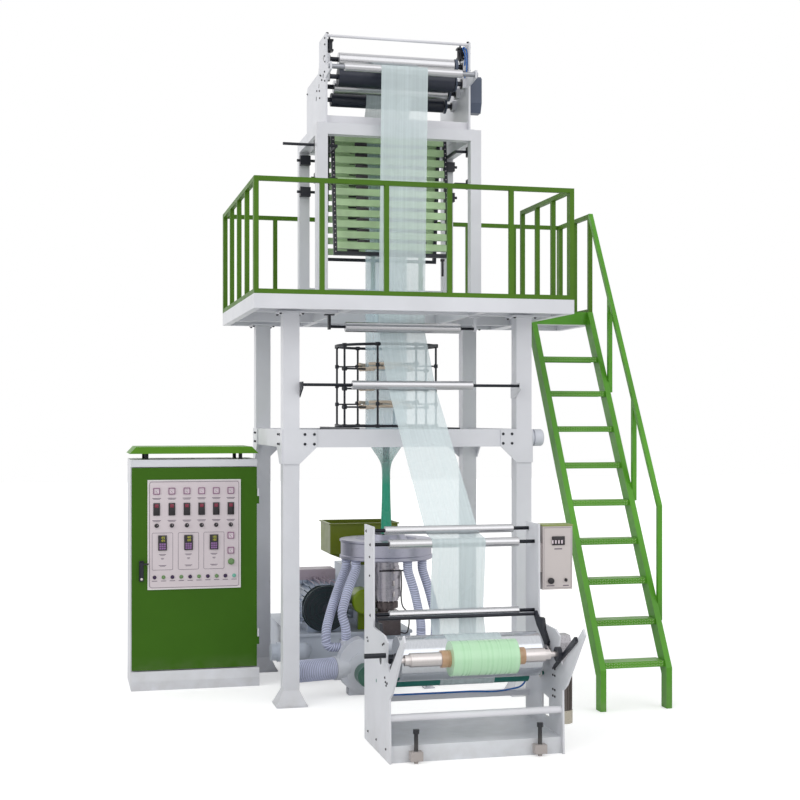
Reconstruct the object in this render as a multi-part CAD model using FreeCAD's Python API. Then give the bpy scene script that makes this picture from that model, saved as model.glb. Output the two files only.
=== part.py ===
import FreeCAD, Part
import math
import os

# Blown film line. All sizes in millimetres.
# X runs to the viewer's right, Y to the back, Z up; the die axis is X 0, Y 0.
V = FreeCAD.Vector

# Tower
COL_X = 790.0            # outer faces of the columns either side of the die axis
COL_Y = 650.0
COL_W = 100.0            # square column tube
DECK_Z = 2389.0          # underside of the platform
DECK_H = 86.0            # platform edge channel
FOOT_W = 190.0
FOOT_T = 12.0
FLARE_H = 85.0           # flared shoe between foot plate and column
CAP_W = 160.0            # bolted plate on top of a column
BEAM_Z = 1565.0          # underside of the middle ring beams
BEAM_H = 109.0
BEAM_T = 60.0
GUSSET_T = 8.0
GUSSET_REACH = 105.0
GUSSET_DROP = 100.0
LIFT_R = 53.5            # motor that lifts the bubble cage
LIFT_L = 79.0

# Platform and railings
DECK_TOP = DECK_Z + DECK_H
DECK_SHEET = 5.0         # thickness of the floor sheet
DECK_L = 995.0           # half width of the main deck
DECK_F = -862.0          # front edge
DECK_B = 763.0           # back edge
LAND_X = 1505.0          # outer edge of the stair landing
LAND_F = 120.0           # front edge of the landing
WELL_X = 420.0           # opening in the deck for the film
WELL_F = -560.0
WELL_B = 300.0
RAIL_H = 690.0           # height of the railing above the deck
RAIL_Z = DECK_TOP + RAIL_H
RAIL_T = 28.0            # square railing tube
GATE_Y = 88.0            # end of the railing beside the stair landing

# Stair
STAIR_L = 1015.0         # outer faces of the stair strings
STAIR_R = 1473.0
STRING_T = 36.0
STRING_W = 88.0
STAIR_FOOT = -1245.0     # front of the upright feet
STAIR_KNEE = 245.0       # height where the feet bend into the slope
STAIR_ANGLE = math.radians(60.13)
STAIR_LEG = 75.0         # depth of the upright feet
TREADS = 9
TREAD_Z = 284.0          # top of the lowest tread
TREAD_RISE = 234.1
TREAD_D = 120.0
TREAD_LIP = 36.0
TREAD_T = 4.0
RAIL_BEND = (-1028.0, 1206.0)
RAIL_END_Z = 500.0
RAIL_POSTS = (-235.0, -638.0)
STAIR_RAIL = 28.0        # square tube of the stair rail

# Upper frame and haul-off head
UP_X = 537.0
UP_F = -394.0
UP_B = 336.0
UP_W = 70.0
UP_H = 1122.0            # height of the upper frame above the platform
UP_Z = DECK_TOP + UP_H
HEAD_X = 475.0           # outer faces of the head side plates
HEAD_F = -360.0
HEAD_STEP = -129.0       # back of the tall front part of a side plate
HEAD_B = 330.0
HEAD_LOW = UP_Z + 375.0  # top of the low rear part
HEAD_TOP = UP_Z + 570.0
PLATE_T = 12.0
FACE_L = 380.0           # half length of the roller faces
SHAFT_R = 15.0
FIT = 0.06               # radial running clearance of a shaft in its bearing

# Head rollers: Y, Z, radius
PRESS_R = (-285.0, UP_Z + 427.0, 45.0)
RUBBER_R = (-275.0, UP_Z + 320.0, 60.0)
STEEL_R = (-125.0, UP_Z + 290.0, 42.0)
GUIDE_R = (-30.0, UP_Z + 228.0, 44.0)
FRONT_R = (-490.0, UP_Z + 330.0, 25.0)

# Collapsing frames
COL_TOP_Z = UP_Z + 103.0
COL_BOT_Z = UP_Z - 812.0
COL_HALF = 388.0
COL_TOP_Y = 48.0
COL_BOT_Y = 165.0
STILE = 22.0
PANEL_T = 30.0
SLATS = 12
ADJUST_Z = (UP_Z - 157.0, UP_Z - 367.0)
ADJUST_W = 46.0
ADJUST_H = 62.0

# Film
FILM_W = 300.0
FILM_T = 1.0
FILM_GAP = 0.35          # between the film and the face of a roller
BUBBLE_R = 138.0
BUBBLE_Z = 1660.0        # height where the bubble has its full width

# Guide idlers on the tower: Y, Z, radius
IDLE_A = (-464.0, DECK_Z - 77.0, 32.0)
IDLE_B = (-720.0, 1944.0, 27.0)
IDLE_SHAFT = 9.0
HANG_X = 472.0           # hangers of the upper idler

# Bubble cage
CAGE_R = 332.0
CAGE_Z0 = BEAM_Z + BEAM_H + 18
CAGE_Z1 = 2218.0
CAGE_RODS = 8
CAGE_TIERS = (1815.0, 1935.0, 2065.0)
WOOD_R = 13.0

# Extruder
AXIS_Z = 395.0           # height of the barrel
BARREL_R = 62.0
BASE_L = -620.0
BASE_R = 190.0
BASE_F = 100.0
BASE_B = 1080.0
BASE_LIFT = 60.0
BASE_TOP = 320.0
THROAT_Y = 600.0
THROAT_W = 160.0
THROAT_TOP = 718.0
GEAR_Y = 730.0
GEAR_L = 290.0
GEAR_TOP = 700.0
MOTOR_X = -389.0
MOTOR_Z = 480.0
MOTOR_R = 158.0
FIN_R = 186.0
MOTOR_Y = 82.0
MOTOR_L = 478.0
GUARD_X = -118.0         # guard of the coupling between motor and barrel
GUARD_Z = 512.0
GUARD_R = 84.0
HOP_L = -294.0
HOP_R = 183.0
HOP_F = 430.0
HOP_B = 790.0
HOP_TOP = 1018.0
HOP_KNEE = 806.0
HOP_WALL = 6.0
TANK_R = 56.0            # air receiver beside the base
TANK_Z = 224.0

# Die and air ring
DIE_LOW = 315.0
DIE_TOP = 800.0
DIE_R = 82.0
DIE_HALF = 80.0          # half width of the adapter block
LIP_T = 17.0
RING_R = 300.0
RING_Z = DIE_TOP + LIP_T
RING_TOP = 948.0

# Blower
FAN_X = -227.0
FAN_F = -420.0           # front and back faces of the scroll
FAN_B = -320.0
FAN_Z = 178.0
FAN_R = 172.0
DUCT_Y = -332.0          # where the axis of the intake crosses the fan's middle
DUCT_Z = 170.0
DUCT_TURN = 13.3
INLET_R = 75.0
DUCT_R = 66.0
DUCT_NEAR = 205.0        # end of the intake collar from the fan's middle
DUCT_L = 322.0
CHEST_L = -365.0         # box behind the scroll that feeds the hoses
CHEST_R = -290.0
CHEST_TOP = 330.0
MANIFOLD_Y = -280.0
MANIFOLD_Z = 285.0
MANIFOLD_R = 38.0
MANIFOLD_END = 310.0
STUB_TOP = 345.0
STUBS = (166.0, 262.0)
HOSE_R = 28.0

# Winder
WIND_X = -20.0           # centre line of the winder
WIND_W = 467.0           # outer faces of its side plates from that line
WIND_T = 10.0
WIND_F = -2160.0
WIND_B = -1565.0
WIND_Z = 1166.0
WIND_NECK = -1778.0      # front edge of the tall part of a side plate
WIND_SHAFT = 10.0
DRUM_SHAFT = 25.0
REEL_SHAFT = 14.0
ROLL_HALF = 365.0
ROLL_A = (-1612.0, 1132.0, 23.0)
ROLL_B = (-1711.0, 1066.0, 25.0)
ROLL_C = (-1711.0, 689.0, 22.0)
DRUM = (-1956.0, 494.0, 117.0)
ROLL_R = 89.0
NIP_GAP = 2.3            # between two faces that pinch the film
SHAFT_Z = 521.0
SHAFT_Y = DRUM[0] - math.sqrt((DRUM[2] + ROLL_R + NIP_GAP) ** 2 - (SHAFT_Z - DRUM[1]) ** 2)
RIDER_R = 40.0
RIDER_LEAN = math.radians(38.0)
RIDER = (DRUM[0] + (DRUM[2] + RIDER_R + NIP_GAP) * math.sin(RIDER_LEAN),
         DRUM[1] - (DRUM[2] + RIDER_R + NIP_GAP) * math.cos(RIDER_LEAN), RIDER_R)
CORE_R = 44.0
SLEEVE_R = 36.0
PAN_Z = 86.0
RAIL_INSET = 26.0        # inner face of the inclined rails from the plates' outer face

# Cabinet
CAB_L = -1660.0
CAB_R = -850.0
CAB_F = 60.0
CAB_D = 450.0
CAB_Z = 1476.0
CAB_WALL = 22.0
CAB_BAND = 46.0          # frame above the door
PLINTH_Z = 120.0
PLINTH_STEP = 58.0
DOOR_T = 22.0
DOOR_GAP = 5.5
HINGE_X = CAB_R + 7.0
HINGE_Y = CAB_F + 3.0
HINGES = (PLINTH_Z + 150.0, CAB_Z - 290.0)
HOOD_LIFT = 38.0
HOOD_H = 44.0
PANEL_L = -1555.0
PANEL_R = -958.0
PANEL_Z0 = 643.0
PANEL_Z1 = 1347.0

PARTS = {}


def box(x0, x1, y0, y1, z0, z1):
    return Part.makeBox(x1 - x0, y1 - y0, z1 - z0, V(x0, y0, z0))


def rod_x(x0, x1, y, z, r):
    return Part.makeCylinder(r, x1 - x0, V(x0, y, z), V(1, 0, 0))


def rod_y(y0, y1, x, z, r):
    return Part.makeCylinder(r, y1 - y0, V(x, y0, z), V(0, 1, 0))


def rod_z(z0, z1, x, y, r):
    return Part.makeCylinder(r, z1 - z0, V(x, y, z0), V(0, 0, 1))


def plate_x(points, x0, x1):
    """Outline given as Y, Z pairs, thick along X."""
    x0, x1 = sorted((x0, x1))
    wire = Part.makePolygon([V(x0, y, z) for y, z in points + points[:1]])
    return Part.Face(wire).extrude(V(x1 - x0, 0, 0))


def plate_y(points, y0, y1):
    """Outline given as X, Z pairs, thick along Y."""
    y0, y1 = sorted((y0, y1))
    wire = Part.makePolygon([V(x, y0, z) for x, z in points + points[:1]])
    return Part.Face(wire).extrude(V(0, y1 - y0, 0))


def plate_z(points, z0, z1):
    """Outline given as X, Y pairs, thick along Z."""
    wire = Part.makePolygon([V(x, y, z0) for x, y in points + points[:1]])
    return Part.Face(wire).extrude(V(0, 0, z1 - z0))


def revolve(points):
    """Profile given as radius, Z pairs, turned round the die axis."""
    wire = Part.makePolygon([V(r, 0, z) for r, z in points + points[:1]])
    return Part.Face(wire).revolve(V(0, 0, 0), V(0, 0, 1), 360)


def frustum(low, high, z0, z1):
    """Straight loft between two rectangles given as X0, X1, Y0, Y1."""
    wires = []
    for (x0, x1, y0, y1), z in ((low, z0), (high, z1)):
        pts = [V(x0, y0, z), V(x1, y0, z), V(x1, y1, z), V(x0, y1, z)]
        wires.append(Part.makePolygon(pts + pts[:1]))
    return Part.makeLoft(wires, True, True)


def square(cx, cy, w):
    return (cx - w / 2, cx + w / 2, cy - w / 2, cy + w / 2)


def fuse(*shapes):
    return shapes[0].multiFuse(list(shapes[1:])).removeSplitter()


def group(*shapes):
    return Part.makeCompound(list(shapes))


def mirror_x(shape):
    return shape.mirror(V(0, 0, 0), V(1, 0, 0))


def add(name, shape):
    PARTS[name] = shape


# Tower frame

def column(sx, sy):
    """Square post on a foot plate with a flared shoe, a bolted plate on top."""
    cx, cy = sx * (COL_X - COL_W / 2), sy * (COL_Y - COL_W / 2)
    post = box(*square(cx, cy, COL_W), FOOT_T, DECK_Z - FOOT_T)
    foot = box(*square(cx, cy, FOOT_W), 0, FOOT_T)
    shoe = frustum(square(cx, cy, FOOT_W - 8), square(cx, cy, COL_W), FOOT_T, FOOT_T + FLARE_H)
    cap = box(*square(cx, cy, CAP_W), DECK_Z - FOOT_T, DECK_Z)
    return fuse(post, foot, shoe, cap)


def gusset_outline(outer):
    """Corner plate of a ring beam: outer edge of the column to past its inner edge."""
    sign = math.copysign(1, outer)
    inner = outer - sign * COL_W
    tip = inner - sign * GUSSET_REACH
    return [(outer, BEAM_Z - GUSSET_DROP), (inner, BEAM_Z - GUSSET_DROP), (tip, BEAM_Z),
            (tip, BEAM_Z + BEAM_H), (outer, BEAM_Z + BEAM_H)]


def mid_beam_long(sy):
    """Front or back ring beam with its two corner gussets."""
    face = sy * COL_Y
    inner = COL_X - COL_W
    y0, y1 = sorted((face, face - sy * BEAM_T))
    beam = box(-inner, inner, y0, y1, BEAM_Z, BEAM_Z + BEAM_H)
    gusset = plate_y(gusset_outline(-COL_X), face, face + sy * GUSSET_T)
    return fuse(beam, gusset, mirror_x(gusset))


def mid_beam_side(sx):
    face = sx * COL_X
    inner = COL_Y - COL_W
    x0, x1 = sorted((face, face - sx * BEAM_T))
    beam = box(x0, x1, -inner, inner, BEAM_Z, BEAM_Z + BEAM_H)
    plates = [plate_x(gusset_outline(y), face, face + sx * GUSSET_T) for y in (-COL_Y, COL_Y)]
    return fuse(beam, *plates)


def cage_lift_motor():
    """Round flanged motor on the outside of the right front corner plate."""
    x = COL_X + GUSSET_T
    y, z = -COL_Y + COL_W / 2, BEAM_Z + BEAM_H / 2
    r = LIFT_R
    flange = rod_x(x, x + 10, y, z, r)
    neck = rod_x(x + 10, x + 18, y, z, r - 9)
    cap = rod_x(x + 18, x + LIFT_L, y, z, r)
    edge = [e for e in cap.Edges if e.Curve.TypeId == "Part::GeomCircle" and e.CenterOfMass.x > x + 40]
    return fuse(flange, neck, cap.makeFillet(14, edge))


def deck():
    sheet = plate_z([(-DECK_L, DECK_F), (DECK_L, DECK_F), (DECK_L, LAND_F), (LAND_X, LAND_F),
                     (LAND_X, DECK_B), (-DECK_L, DECK_B)], DECK_Z, DECK_TOP)
    edge, rib = 45.0, 22.0
    low, high = DECK_Z - 1, DECK_TOP - DECK_SHEET
    rows = ((DECK_F + edge, WELL_F - rib), (WELL_F + rib, WELL_B - rib), (WELL_B + rib, DECK_B - edge))
    pockets = []
    for x0, x1 in ((-DECK_L + edge, -WELL_X - rib), (WELL_X + rib, DECK_L - edge)):
        pockets += [box(x0, x1, y0, y1, low, high) for y0, y1 in rows]
    for y0, y1 in (rows[0], rows[2]):
        pockets.append(box(-WELL_X + rib, WELL_X - rib, y0, y1, low, high))
    pockets.append(box(DECK_L + edge, LAND_X - edge, LAND_F + edge, DECK_B - edge, low, high))
    well = box(-WELL_X, WELL_X, WELL_F, WELL_B, low, DECK_TOP + 1)
    return sheet.cut(group(*pockets)).cut(well)


def rail_run(p, q, posts):
    """One railing panel from p to q (X, Y of its tube centre) with evenly spaced posts."""
    h = RAIL_T / 2
    x0, x1 = sorted((p[0], q[0]))
    y0, y1 = sorted((p[1], q[1]))
    solids = [box(x0 - h, x1 + h, y0 - h, y1 + h, z, z + RAIL_T) for z in (DECK_TOP, RAIL_Z - RAIL_T)]
    for i in range(posts):
        t = i / (posts - 1)
        x, y = p[0] + t * (q[0] - p[0]), p[1] + t * (q[1] - p[1])
        solids.append(box(x - h, x + h, y - h, y + h, DECK_TOP, RAIL_Z))
    return fuse(*solids)


def railings():
    h = RAIL_T / 2
    xl, xr, xo = -DECK_L + h, DECK_L - h, LAND_X - h
    yf, yb = DECK_F + h, DECK_B - h
    add("railing_front", rail_run((xl, yf), (xr, yf), 6))
    add("railing_left", rail_run((xl, yf + RAIL_T), (xl, yb - RAIL_T), 5))
    add("railing_back", rail_run((xl, yb), (xo, yb), 8))
    add("railing_right", group(rail_run((xr, yf + RAIL_T), (xr, GATE_Y), 4),
                               rail_run((xo, LAND_F + h), (xo, yb - RAIL_T), 3)))


# Stair

def stair_front(z):
    """Y of the front edge of the sloping strings at height z."""
    return STAIR_FOOT + (z - STAIR_KNEE) / math.tan(STAIR_ANGLE)


def stair_edge_z(y):
    return STAIR_KNEE + (y - STAIR_FOOT) * math.tan(STAIR_ANGLE)


def stair_string(x0):
    """Upright foot that bends into the sloping string and ends square on the landing."""
    across = STRING_W / math.sin(STAIR_ANGLE)
    heel = STAIR_FOOT + STAIR_LEG
    outline = [(STAIR_FOOT, 0), (STAIR_FOOT, STAIR_KNEE), (stair_front(DECK_TOP), DECK_TOP), (LAND_F, DECK_TOP),
               (LAND_F, DECK_Z), (stair_front(DECK_Z) + across, DECK_Z), (heel, stair_edge_z(heel - across)),
               (heel, 0)]
    return plate_x(outline, x0, x0 + STRING_T)


def stair_tread(i):
    """Folded chequer plate: flat top with a lip turned down front and back."""
    z = TREAD_Z + i * TREAD_RISE
    y0 = stair_front(z) + 8
    y1 = y0 + TREAD_D
    x0, x1 = STAIR_L + STRING_T, STAIR_R - STRING_T
    t = TREAD_T
    outline = [(y0, z - TREAD_LIP), (y0, z), (y1, z), (y1, z - TREAD_LIP), (y1 - t, z - TREAD_LIP),
               (y1 - t, z - t), (y0 + t, z - t), (y0 + t, z - TREAD_LIP)]
    return plate_x(outline, x0, x1)


def stair_top_plate():
    """Channel between the strings where the stair meets the landing."""
    return box(STAIR_L + STRING_T, STAIR_R - STRING_T, LAND_F - 60, LAND_F, DECK_Z, DECK_TOP)


def stair_handrail():
    """One bent square tube beside the right string, with two short posts."""
    h = STAIR_RAIL / 2
    x0, x1 = STAIR_R, STAIR_R + STAIR_RAIL
    y, z = RAIL_BEND
    rise = (RAIL_Z - z) / (LAND_F - y)
    drop = STAIR_RAIL * math.hypot(1, rise)
    bar = plate_x([(y - h, z), (LAND_F, RAIL_Z + h * rise), (LAND_F, RAIL_Z + h * rise - drop),
                   (y + h, z + STAIR_RAIL * rise - drop), (y + h, RAIL_END_Z), (y - h, RAIL_END_Z)], x0, x1)
    bar = bar.cut(box(x0 - 1, x1 + 1, LAND_F - 200, LAND_F + 1, RAIL_Z, RAIL_Z + 200))
    posts = []
    for yp in RAIL_POSTS:
        low = stair_edge_z(yp) - STRING_W
        high = z + (yp - y) * rise
        posts.append(box(x0, x1, yp - h, yp + h, low, high))
    return fuse(bar, *posts)


# Upper frame and head

def upper_posts():
    solids = []
    for x0 in (-UP_X, UP_X - UP_W):
        for y0 in (UP_F, UP_B - UP_W):
            post = box(x0, x0 + UP_W, y0, y0 + UP_W, DECK_TOP, UP_Z)
            foot = box(x0 - 20, x0 + UP_W + 20, y0 - 20, y0 + UP_W + 20, DECK_TOP, DECK_TOP + 10)
            solids.append(fuse(post, foot))
    return group(*solids)


def upper_beams():
    """Ring of beams between the upper posts and the low beam at the back."""
    inner = UP_X - UP_W
    z0 = UP_Z - UP_W
    solids = [box(-inner, inner, y, y + UP_W, z0, UP_Z) for y in (UP_F, UP_B - UP_W)]
    solids += [box(x, x + UP_W, UP_F + UP_W, UP_B - UP_W, z0, UP_Z) for x in (-UP_X, inner)]
    solids.append(box(-inner, inner, UP_B - 55, UP_B - 15, DECK_TOP + 45, DECK_TOP + 145))
    return group(*solids)


def bore(y, z, r=SHAFT_R):
    return rod_x(-HEAD_X - 60, HEAD_X + 60, y, z, r + FIT)


def head_plate(side):
    """Side plate with its floor flange, bearing blocks and the arm of the front roller."""
    outline = [(HEAD_F, UP_Z), (HEAD_B, UP_Z), (HEAD_B, HEAD_LOW - 30), (HEAD_B - 30, HEAD_LOW),
               (HEAD_STEP + 29, HEAD_LOW), (HEAD_STEP, HEAD_LOW + 38), (HEAD_STEP, HEAD_TOP), (HEAD_F, HEAD_TOP)]
    outer, inner = side * HEAD_X, side * (HEAD_X - PLATE_T)
    f0, f1 = sorted((outer, outer + side * 28))
    b0, b1 = sorted((inner, inner - side * 24))
    solids = [plate_x(outline, outer, inner), box(f0, f1, HEAD_F, HEAD_B, UP_Z, UP_Z + 10)]
    for y, z, r in (PRESS_R, RUBBER_R, STEEL_R, GUIDE_R):
        solids.append(box(b0, b1, y - 32, y + 32, z - 30, z + 30))
    y, z, r = FRONT_R
    solids.append(plate_x([(y - 24, z - 24), (HEAD_F + 10, z - 40), (HEAD_F + 10, z + 40), (y - 24, z + 24)],
                          outer, inner))
    body = fuse(*solids)
    for y, z, r in (PRESS_R, RUBBER_R, STEEL_R, GUIDE_R, FRONT_R):
        body = body.cut(bore(y, z))
    return body


def head_cross_bars():
    i = HEAD_X - PLATE_T
    return group(rod_x(-i, i, HEAD_F + 12, HEAD_TOP - 12, 9),
                 box(-i, i, HEAD_F + 30, HEAD_F + 42, UP_Z, UP_Z + 60),
                 box(-i, i, HEAD_B - 40, HEAD_B - 28, UP_Z, UP_Z + 90))


def roller(cx, half, y, z, r, shaft, left, right):
    """Roller face with bevelled ends on its through shaft."""
    face = rod_x(cx - half, cx + half, y, z, r)
    rims = [e for e in face.Edges if e.Curve.TypeId == "Part::GeomCircle"]
    return fuse(face.makeChamfer(min(2.0, r * 0.08), rims), rod_x(left, right, y, z, shaft))


def head_rollers():
    end = HEAD_X
    add("head_press_roller", roller(0, FACE_L, *PRESS_R, SHAFT_R, -end, end))
    add("head_rubber_roller", roller(0, FACE_L, *RUBBER_R, SHAFT_R, -end, end + 50))
    add("head_steel_roller", roller(0, FACE_L, *STEEL_R, SHAFT_R, -end, end))
    add("head_guide_roller", roller(0, FACE_L, *GUIDE_R, SHAFT_R, -end, end))
    add("head_front_roller", roller(0, FACE_L, *FRONT_R, SHAFT_R, -end - 8, end + 8))


def nip_cylinders():
    """Air cylinders that press the upper nip roller down, one at each end."""
    y, z, r = PRESS_R
    out = []
    for s in (-1, 1):
        x = s * (HEAD_X - PLATE_T - 30)
        barrel = rod_z(z + 60, z + 122, x, y + 20, 20)
        caps = [box(x - 23, x + 23, y - 3, y + 43, z + h, z + h + 12) for h in (52, 116)]
        bracket = box(*sorted((x, s * (HEAD_X - PLATE_T))), y + 8, y + 32, z + 76, z + 102)
        stem = rod_z(z + 42, z + 56, x, y + 20, 8)
        screw = rod_z(z + 126, z + 161, x, y + 20, 6)
        out.append(fuse(barrel, bracket, stem, screw, *caps))
    return group(*out)


def head_gearmotor():
    x = HEAD_X + 0.5
    y, z, r = RUBBER_R
    case = plate_x([(y - 58, z + 24), (y - 40, z + 42), (y + 40, z + 42), (y + 58, z + 24), (y + 58, z - 130),
                    (y + 32, z - 192), (y - 32, z - 192), (y - 58, z - 130)], x, x + 84)
    motor = rod_y(y + 55, y + 300, x + 60, z - 30, 52)
    cowl = rod_y(y + 300, y + 330, x + 60, z - 30, 56)
    hub = rod_x(x, x + 92, y, z, 30)
    return fuse(case, motor, cowl, hub).cut(rod_x(x - 5, x + 60, y, z, SHAFT_R + FIT))


# Collapsing frames

def place_panel(body, sy):
    """Leans a panel drawn upright so that its foot stands away from the film."""
    angle = math.degrees(math.atan2(COL_BOT_Y - COL_TOP_Y, COL_TOP_Z - COL_BOT_Z))
    body.rotate(V(0, 0, COL_TOP_Z), V(1, 0, 0), sy * angle)
    body.translate(V(0, sy * COL_TOP_Y, 0))
    return body


def collapse_frame(sy):
    y0, y1 = sorted((0.0, sy * PANEL_T))
    m0, m1 = sorted((sy * 4.0, sy * 12.0))
    solids = [box(x, x + STILE, y0, y1, COL_BOT_Z, COL_TOP_Z) for x in (-COL_HALF, COL_HALF - STILE)]
    solids += [box(-COL_HALF, COL_HALF, y0, y1, z, z + STILE) for z in (COL_BOT_Z, COL_TOP_Z - STILE)]
    solids.append(box(-9, 9, m0, m1, COL_BOT_Z, COL_TOP_Z))
    return place_panel(fuse(*solids), sy)


def collapse_slats(sy):
    y0, y1 = sorted((sy * PANEL_T, sy * 12.0))
    x = COL_HALF - STILE
    pitch = (COL_TOP_Z - COL_BOT_Z - 60) / SLATS
    out = []
    for i in range(SLATS):
        z = COL_BOT_Z + 40 + i * pitch
        out.append(place_panel(box(-x, x, y0, y1, z, z + pitch * 0.62), sy))
    return out


def frame_face(z):
    """Distance of the leaning frames from the film at height z."""
    return COL_TOP_Y + (COL_TOP_Z - z) * (COL_BOT_Y - COL_TOP_Y) / (COL_TOP_Z - COL_BOT_Z)


def collapsing_adjusters():
    """Clamp blocks on the upper posts with the rods and links that hold the frames."""
    out = []
    for s in (-1, 1):
        x0, x1 = sorted((s * COL_HALF, s * (COL_HALF + 12)))
        for y, sy in ((UP_F + UP_W, -1), (UP_B - UP_W - ADJUST_W, 1)):
            for z in ADJUST_Z:
                blk = box(*sorted((s * (UP_X - UP_W), s * UP_X)), y, y + ADJUST_W, z, z + ADJUST_H)
                mid_y, mid_z = y + ADJUST_W / 2, z + ADJUST_H / 2
                reach = 200 if (s < 0 and sy < 0 and z == ADJUST_Z[0]) else 20
                bar = rod_x(*sorted((s * COL_HALF, s * (UP_X + reach))), mid_y, mid_z, 9)
                near = sy * (frame_face(mid_z) + PANEL_T / 2)
                link = box(x0, x1, *sorted((mid_y, near)), mid_z - 9, mid_z + 9)
                out.append(fuse(blk, bar, link))
    return group(*out)


# Bubble cage

def cage_point(i):
    a = math.radians(22.5 + 360.0 / CAGE_RODS * i)
    return V(math.cos(a), math.sin(a), 0)


def bubble_cage():
    solids = [Part.makeTorus(CAGE_R, 9, V(0, 0, z), V(0, 0, 1)) for z in (CAGE_Z0, CAGE_Z1)]
    for i in range(CAGE_RODS):
        p = cage_point(i) * CAGE_R
        solids.append(rod_z(CAGE_Z0, CAGE_Z1, p.x, p.y, 7))
        solids += [rod_z(z - 12, z + 12, p.x, p.y, 15) for z in (CAGE_Z0, CAGE_Z1)]
    for z in CAGE_TIERS:
        for i in range(0, CAGE_RODS, 2):
            n = cage_point(i)
            lift = V(0, 0, z + (30 if i % 4 else 0))
            solids.append(Part.makeCylinder(6, CAGE_R - BUBBLE_R - 30, n * (BUBBLE_R + 30) + lift, n))
            solids.append(Part.makeCylinder(14, 26, n * (CAGE_R - 13) + lift, n))
    for s in (-1, 1):
        x0, x1 = sorted((s * (CAGE_R - 26), s * (CAGE_R + 6)))
        solids.append(box(x0, x1, -COL_Y + BEAM_T, COL_Y - BEAM_T, BEAM_Z + BEAM_H - 30, BEAM_Z + BEAM_H + 10))
    return fuse(*solids)


def cage_rollers():
    """Turned wooden rollers across the end of each arm of the cage."""
    out = []
    for z in CAGE_TIERS:
        for i in range(0, CAGE_RODS, 2):
            n = cage_point(i)
            t = V(-n.y, n.x, 0)
            mid = n * (BUBBLE_R + 30 - WOOD_R) + V(0, 0, z + (30 if i % 4 else 0))
            out.append(Part.makeCylinder(WOOD_R, 150, mid - t * 75, t))
    return group(*out)


# Guide idlers on the tower

def guide_idlers():
    add("guide_roller_upper", roller(0, 372, *IDLE_A, IDLE_SHAFT, -HANG_X - 7, HANG_X + 7))
    end = COL_X - COL_W - 1
    add("guide_roller_lower", roller(0, 380, *IDLE_B, IDLE_SHAFT, -end, end))


def idler_brackets():
    out = []
    y, z, r = IDLE_A
    for s in (-1, 1):
        plate = box(*sorted((s * (HANG_X - 7), s * (HANG_X + 7))), y - 20, y + 20, z - 18, DECK_Z)
        foot = box(*sorted((s * (HANG_X - 30), s * (HANG_X + 30))), y - 20, y + 20, DECK_Z - 8, DECK_Z)
        out.append(fuse(plate, foot).cut(bore(y, z, IDLE_SHAFT)))
    y, z, r = IDLE_B
    face = COL_X - COL_W
    for s in (-1, 1):
        plate = plate_x([(y - 25, z - 20), (y - 25, z + 18), (-COL_Y + COL_W - 6, z + 18),
                         (-COL_Y + COL_W - 6, z - 76), (-COL_Y + 20, z - 76)], s * face, s * (face - 8))
        out.append(plate.cut(rod_x(-COL_X, COL_X, y, z, IDLE_SHAFT + FIT)))
    return group(*out)


# Extruder

def extruder_base():
    """Block base on round feet, with the small air receiver carried on its front."""
    solids = [box(BASE_L, BASE_R, BASE_F, BASE_B, BASE_LIFT, BASE_TOP - 20),
              box(BASE_L - 12, BASE_R + 12, BASE_F - 12, BASE_B + 12, BASE_TOP - 20, BASE_TOP)]
    for x in (BASE_L + 60, BASE_R - 60):
        for y in (BASE_F + 60, (BASE_F + BASE_B) / 2, BASE_B - 60):
            solids.append(rod_z(0, BASE_LIFT, x, y, 34))
    y, z, r = BASE_F - 100, TANK_Z, TANK_R
    tank = rod_x(BASE_L - 150, BASE_L + 64, y, z, r)
    dome = Part.makeSphere(r, V(BASE_L + 64, y, z))
    rim = rod_x(BASE_L - 110, BASE_L - 90, y, z, r + 8)
    saddles = [box(x, x + 20, y, BASE_F, z - 40, z + 20) for x in (BASE_L + 8, BASE_L + 60)]
    return fuse(*solids, tank, dome, rim, *saddles)


def extruder_drive():
    """Barrel with its heater bands, feed throat, gear case and the belt drive behind it."""
    w = THROAT_W / 2
    back = GEAR_Y + GEAR_L
    solids = [rod_y(DIE_HALF, GEAR_Y, 0, AXIS_Z, BARREL_R)]
    solids += [rod_y(y, y + 110, 0, AXIS_Z, BARREL_R + 9) for y in (110.0, 245.0, 380.0)]
    solids.append(box(-w, w, THROAT_Y - w, THROAT_Y + w, BASE_TOP, THROAT_TOP))
    solids.append(rod_y(THROAT_Y + w, GEAR_Y, 0, AXIS_Z, BARREL_R + 12))
    solids.append(box(-150, 150, GEAR_Y, back, BASE_TOP, GEAR_TOP))
    solids.append(rod_y(MOTOR_Y + MOTOR_L, back, MOTOR_X, MOTOR_Z, 26))
    solids.append(box(MOTOR_X - 41, MOTOR_X + 41, back - 120, back - 60, BASE_TOP, MOTOR_Z + 45))
    low, high = 90.0, 120.0
    solids.append(rod_y(back, back + 55, MOTOR_X, MOTOR_Z, low))
    solids.append(rod_y(back, back + 55, 0, GEAR_TOP - 200, high))
    solids.append(plate_y([(MOTOR_X, MOTOR_Z - low), (0, GEAR_TOP - 200 - high), (0, GEAR_TOP - 200 + high),
                           (MOTOR_X, MOTOR_Z + low)], back, back + 55))
    return fuse(*solids)


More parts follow.
